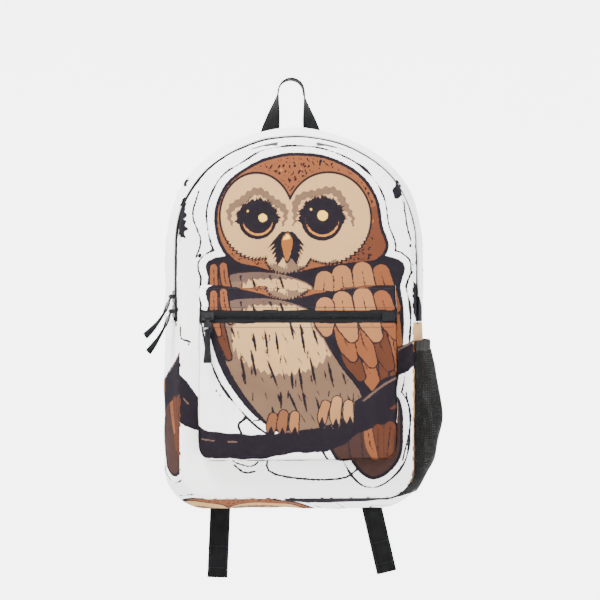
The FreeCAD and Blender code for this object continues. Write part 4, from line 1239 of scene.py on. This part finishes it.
webbing = {"width": 0.025, "thick": 0.0016, "spread": 0.031, "bend": 0.01575, "hook": -0.015,
           "foot": -0.0895}


def haulLoop():
    # each leg turns a quarter between the bag's seam and the bend over the hook
    w = webbing
    share = np.linspace(0.03, 1, 26)
    x = w["spread"] + (w["bend"] - w["spread"]) * share
    z = w["foot"] + (w["hook"] - w["foot"]) * share
    turn = math.pi / 2 * np.clip(share * 1.04, 0, 1) ** 1.15
    right = np.stack([x, 0 * x, z], -1)
    wideR = np.stack([np.cos(turn), np.sin(turn), 0 * turn], -1)
    bend = np.linspace(0, math.pi, 22)[1:-1]
    over = np.stack([w["bend"] * np.cos(bend), 0 * bend, w["hook"] + w["bend"] * np.sin(bend)], -1)
    left = right[::-1] * (-1, 1, 1)
    wideL = wideR[::-1] * (-1, 1, 1)
    line = np.concatenate([right, over, left])
    wide = np.concatenate([wideR, np.broadcast_to((0.0, 1.0, 0.0), (20, 3)), wideL])
    obj = ribbonAlong("haul_loop_webbing", line, w["width"], w["thick"], wide, rows=11)
    dressed(obj, "webbing", body=None, stands=["haul_loop"])
    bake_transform(obj)
    return obj, float(np.linalg.norm(np.diff(line, axis=0), axis=1).sum())


haulWeb, haulLength = haulLoop()

pull = {"lean": math.radians(23), "tab": 0.015, "length": 0.054, "width": 0.0064,
        # side, height, curl
        "pivot": (-0.145274, -0.1181), "main": (("lower", -0.286, 0.007), ("upper", -0.269, 0.011)),
        "mainTwist": -1.15, "thread": {"pitch": 0.0026, "length": 0.0018, "radius": 0.00016},
        "pocketPivot": (-0.103, -0.1541, -0.291057)}


def pullRibbon(name, pivot, down, out, wide, curl, twist, body, stand):
    # folded ribbon from the tab's foot bar to a flared sewn end, curling away from the bag and turning on
    # itself
    t = np.linspace(0, 1, 40)
    run = pull["tab"] + (pull["length"] - pull["tab"]) * t
    line = np.array(pivot)[None] + np.outer(run, down) + np.outer(curl * t**1.8, out)
    width = np.interp(t, [0, 0.05, 0.55, 0.96, 1.0], np.array([0.8, 1.0, 1.02, 1.5, 1.42]) * pull["width"])
    thick = np.interp(t, [0, 0.08, 0.5, 0.62, 1.0], [0.0034, 0.0026, 0.0019, 0.0021, 0.0023])
    turn = (twist * np.clip(t * 1.5, 0, 1))[:, None]
    wide = np.array(wide) * np.cos(turn) + np.array(out) * np.sin(turn)
    obj = ribbonAlong(name, line, width, thick, wide, rows=9)
    dressed(obj, "ribbon", body=body, stands=[stand])
    face = np.cross(np.gradient(line, axis=0), wide)
    face /= np.linalg.norm(face, axis=1, keepdims=True)
    k = slice(4, 38)
    for sign in (1, -1):
        rowsOf = [line[k] + wide[k] * (width[k, None] * side) + sign * face[k] * (thick[k, None] / 2)
                  for side in (-0.30, 0.30)]
        sewn(name + ("_stitch_a" if sign > 0 else "_stitch_b"), rowsOf, [face[k] * sign] * 2, "pull_webbing",
             body=body, **pull["thread"])
    return obj


def pullRibbons():
    slope = bag["frontInset"] / (bag["flatFront"] - bag["frontY"])
    tangent = np.array([-slope, 1.0, 0.0])
    tangent /= np.linalg.norm(tangent)
    normal = np.array([-tangent[1], tangent[0], 0.0])
    up = np.array([0.0, 0.0, 1.0])
    down = -up * math.cos(pull["lean"]) + normal * math.sin(pull["lean"])
    out = normal * math.cos(pull["lean"]) + up * math.sin(pull["lean"])
    for side, z, curl in pull["main"]:
        pullRibbon("pull_ribbon_" + side + "_cloth", (*pull["pivot"], z), down, out, tangent, curl,
                   pull["mainTwist"], side + "_pull", "pull_ribbon_" + side)
    tilt = math.atan2(pocket["lean"], pocket["zipTop"] - pocket["zipBottom"])
    out = np.array([0.0, -math.cos(tilt), math.sin(tilt)])
    down = np.array([0.0, -math.sin(tilt), -math.cos(tilt)])
    pullRibbon("pocket_ribbon_cloth", pull["pocketPivot"], down, out, np.array([1.0, 0.0, 0.0]), 0.0, 0.0,
               "pocket_ribbon_body", "pocket_pull_ribbon")


pullRibbons()
print("stage: mesh pocket, haul loop and pulls")

strap = {
    "topX": 0.046, "endX": 0.084, "top": -0.122, "length": 0.300, "topWidth": 0.058, "endWidth": 0.046,
    "thick": 0.009,
    "bow": 0.013, "topGap": 0.0022, "endGap": 0.004, "sweep": 0.005, "round": 0.010,
    "lockY": 0.0085, "barZ": -0.431, "tailY": 0.01385, "tailZ": -0.4525, "tail": 0.166, "fold": 0.050,
    "tailLean": {"left": 2.4, "right": -12.9}, "web": 0.025, "webThick": 0.0016,
    "padThread": {"pitch": 0.0042, "length": 0.0030, "radius": 0.00024},
    "tailThread": {"pitch": 0.0030, "length": 0.0021, "radius": 0.00018},
}


def padCentre(share, side):
    # centre line, half width and inner face of a padded strap, from its sewn top to its lower end
    s = strap
    arch = 4 * share * (1 - share)
    x = s["topX"] + (s["endX"] - s["topX"]) * share + s["sweep"] * arch
    half = (s["topWidth"] + (s["endWidth"] - s["topWidth"]) * share) / 2
    rounding = np.clip(1 - s["length"] * (1 - share) / s["round"], 0, 1)
    half = half - s["round"] * (1 - np.sqrt(1 - rounding**2))
    inner = s["topGap"] + (s["endGap"] - s["topGap"]) * share + (s["bow"] - s["topGap"]) * arch
    return side * x, half, inner, s["top"] - s["length"] * share


def strapPad(side, name):
    # foam pad: crowned on its outer face, flat on its inner, thin at its bound edges, with two sewn lines
    s = strap
    share = np.concatenate([np.linspace(0, 0.955, 150), 1 - 0.045 * np.linspace(1, 0, 16)[1:] ** 1.6])
    x, half, inner, z = padCentre(share, side)
    u = np.linspace(-1, 1, 49)
    edge = np.clip(1 - np.abs(u) ** 10, 0, 1) ** 0.5
    crown = (0.42 + 0.58 * np.clip(1 - np.abs(u) ** 3.2, 0, 1)) * edge
    channel = np.exp(-((np.abs(u) - 0.62) / 0.045) ** 2)
    ends = np.clip(np.minimum(share * s["length"], (1 - share) * s["length"]) / 0.008, 0, 1) ** 0.5
    puff = 0.45 + 0.55 * ends
    place = np.stack([u[None] * half[:, None] * side, np.broadcast_to(z[:, None], (len(z), 49))], -1)
    soft = 0.0005 * waves(place, 0.045, 81)
    mid = inner + s["thick"] / 2
    crest = s["thick"] / 2 * crown[None] - 0.0016 * channel[None]
    outer = mid[:, None] + puff[:, None] * crest + soft * edge[None]
    hollow = s["thick"] / 2 * (0.55 + 0.45 * crown[None]) * edge[None] - 0.0007 * channel[None]
    rear = mid[:, None] - puff[:, None] * hollow
    rear = np.maximum(rear, 0.0016)
    X = x[:, None] + u[None] * half[:, None] * (0.985 + 0.015 * edge[None])
    Z = np.broadcast_to(z[:, None], X.shape)
    loop = np.concatenate([np.stack([X, outer, Z], -1), np.stack([X, rear, Z], -1)[:, ::-1]], 1)
    obj = mended(surface("strap_pad_" + name + "_cloth", loop, loopV=True, caps=True,
                         along=share * s["length"],
                         across=np.concatenate([u, u[::-1]]) * 0.026))
    dressed(obj, "strap", body="strap_" + name, stands=["strap_pad_" + name])
    rowsOf, normals = [], []
    for k in (-0.62, 0.62):
        col = int(round((k + 1) * 24))
        rowsOf.append(np.stack([X[3:-8, col], outer[3:-8, col], z[3:-8]], -1))
        normals.append((0, 1, 0))
    sewn("strap_pad_" + name + "_stitch", rowsOf, normals, "strap_cloth", body="strap_" + name,
         **s["padThread"])
    # webbing sewn down the middle of the outer face
    k = slice(2, 158)
    line = np.stack([x[k], outer[k, 24] + 0.0004, z[k]], -1)
    web = ribbonAlong("strap_web_" + name, line, s["web"], 0.0014,
                      np.broadcast_to((1.0, 0.0, 0.0), line.shape), rows=7)
    dressed(web, "webbing", body="strap_" + name)


def lowerWebbing(side, name):
    # adjusting webbing from the strap's buckle down to the tab on the bag
    s = strap
    low = np.array([side * (0.124 - 0.006), 0.0030, -0.4875])
    high = np.array([side * (s["endX"] + 0.002), s["lockY"] - 0.0036, s["barZ"] - 0.011])
    t = np.linspace(0, 1, 30)[:, None]
    line = low + (high - low) * t + np.array([0, 0.0018, 0]) * np.sin(math.pi * t)
    ahead = (high - low) / np.linalg.norm(high - low)
    wide = np.cross(ahead, (0, 1, 0))
    obj = ribbonAlong("lower_webbing_" + name + "_strip", line, s["web"], s["webThick"],
                      np.broadcast_to(wide, line.shape), rows=9)
    dressed(obj, "webbing", body=None, stands=["lower_webbing_" + name])
    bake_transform(obj)


def tailStrip(side, name):
    # free end of the adjusting webbing: hangs from the buckle, folded back on itself and sewn at its end
    s = strap
    lean = math.radians(s["tailLean"][name])
    t = np.linspace(0, 1, 70)
    run = -0.002 + (s["tail"] + 0.002) * t
    sway = 0.0022 * np.sin(math.pi * 1.3 * t)
    ahead = np.array([-math.sin(lean), 0.0, -math.cos(lean)])
    wide = np.array([math.cos(lean), 0.0, -math.sin(lean)])
    origin = np.array([side * s["endX"], s["tailY"] + s["webThick"] / 2, s["tailZ"]])
    line = origin + run[:, None] * ahead + sway[:, None] * np.array([0, 1.0, 0])
    hem = np.clip((run - (s["tail"] - s["fold"])) / 0.0025, 0, 1)
    thick = s["webThick"] * (1 + 0.95 * hem)
    line[:, 1] += s["webThick"] * 0.5 * hem
    obj = ribbonAlong("webbing_tail_" + name + "_strip", line, s["web"], thick,
                      np.broadcast_to(wide, line.shape), rows=11)
    dressed(obj, "webbing", body="tail_" + name, stands=["webbing_tail_" + name])
    rowsOf = []
    start, stop = int(70 * (1 - s["fold"] / s["tail"])) + 3, 67
    for k in (-0.40, 0.40):
        rowsOf.append(line[start:stop] + wide * (k * s["web"]))
    for at in (start + 2, stop - 3):
        rowsOf.append(line[at] + np.outer(np.linspace(-0.4, 0.4, 12) * s["web"], wide))
    for sign in (1, -1):
        shifted = [r + np.array([0, sign * s["webThick"] * 0.98, 0]) for r in rowsOf]
        sewn("tail_" + name + ("_stitch_a" if sign > 0 else "_stitch_b"), shifted, [(0, sign, 0)] * 4,
             "black_webbing", body="tail_" + name, **s["tailThread"])
    return obj


for side, name in ((-1, "left"), (1, "right")):
    strapPad(side, name)
    lowerWebbing(side, name)
    tailStrip(side, name)
print("stage: straps")


back = {"cell": 0.0032, "channelX": 0.052, "channelDeep": 0.0016, "rib": 0.030, "puff": 0.0009, "hem": 0.001}


def backPanel():
    # shallow padded back: three upright channels with soft ribs across, sewn grooves between
    inset = bag["backInset"] + back["hem"]
    x, z = panelGrid(inset, back["cell"])
    d = toRim(x, z, inset)
    channel = np.exp(-((np.abs(x) - back["channelX"]) / 0.004) ** 2)
    ribs = 0.5 + 0.5 * np.cos(2 * math.pi * z / back["rib"])
    inside = 1 - np.exp(-d / 0.012)
    puff = back["puff"] * inside * (0.55 + 0.45 * ribs) - back["channelDeep"] * channel * (d > 0.02)
    y = -0.0004 + puff + 0.0002 * waves(np.stack([x, z], -1), 0.05, 91)
    obj = surface("back_panel_cloth", np.stack([x, y, z], -1), along=x[:, 0], across=z[0])
    return dressed(obj, "back", stands=["back_panel"])


backCloth = backPanel()


yokeStrip = {"half": 0.078, "y": 0.0014, "z": -0.111, "width": 0.020, "thick": 0.0016, "sewn": 0.0078}


def yoke():
    w = yokeStrip
    line = np.linspace((-w["half"], w["y"], w["z"]), (w["half"], w["y"], w["z"]), 60)
    obj = ribbonAlong("strap_yoke_strip", line, w["width"], w["thick"],
                      np.broadcast_to((0.0, 0.0, 1.0), line.shape), rows=9)
    dressed(obj, "webbing", stands=["strap_yoke"])
    rowsOf = [line[2:-2] + (0, w["thick"] / 2, k) for k in (-w["sewn"], w["sewn"])]
    sewn("strap_yoke_stitch", rowsOf, [(0, 1, 0)] * 2, "black_webbing", pitch=0.0034, length=0.0024)
    return obj


yokeWeb = yoke()
print("stage: back")


def ringArea(inset):
    # flat area inside the bag's outline at an inset
    ring = rim(np.linspace(0, outlineLength, 900), inset)
    return 0.5 * abs(float(np.sum(ring[:-1, 0] * ring[1:, 1] - ring[1:, 0] * ring[:-1, 1])))


def declareSheets():
    ringArea(bag["frontInset"])
    ringArea(bag["backInset"] + back["hem"])


declareSheets()
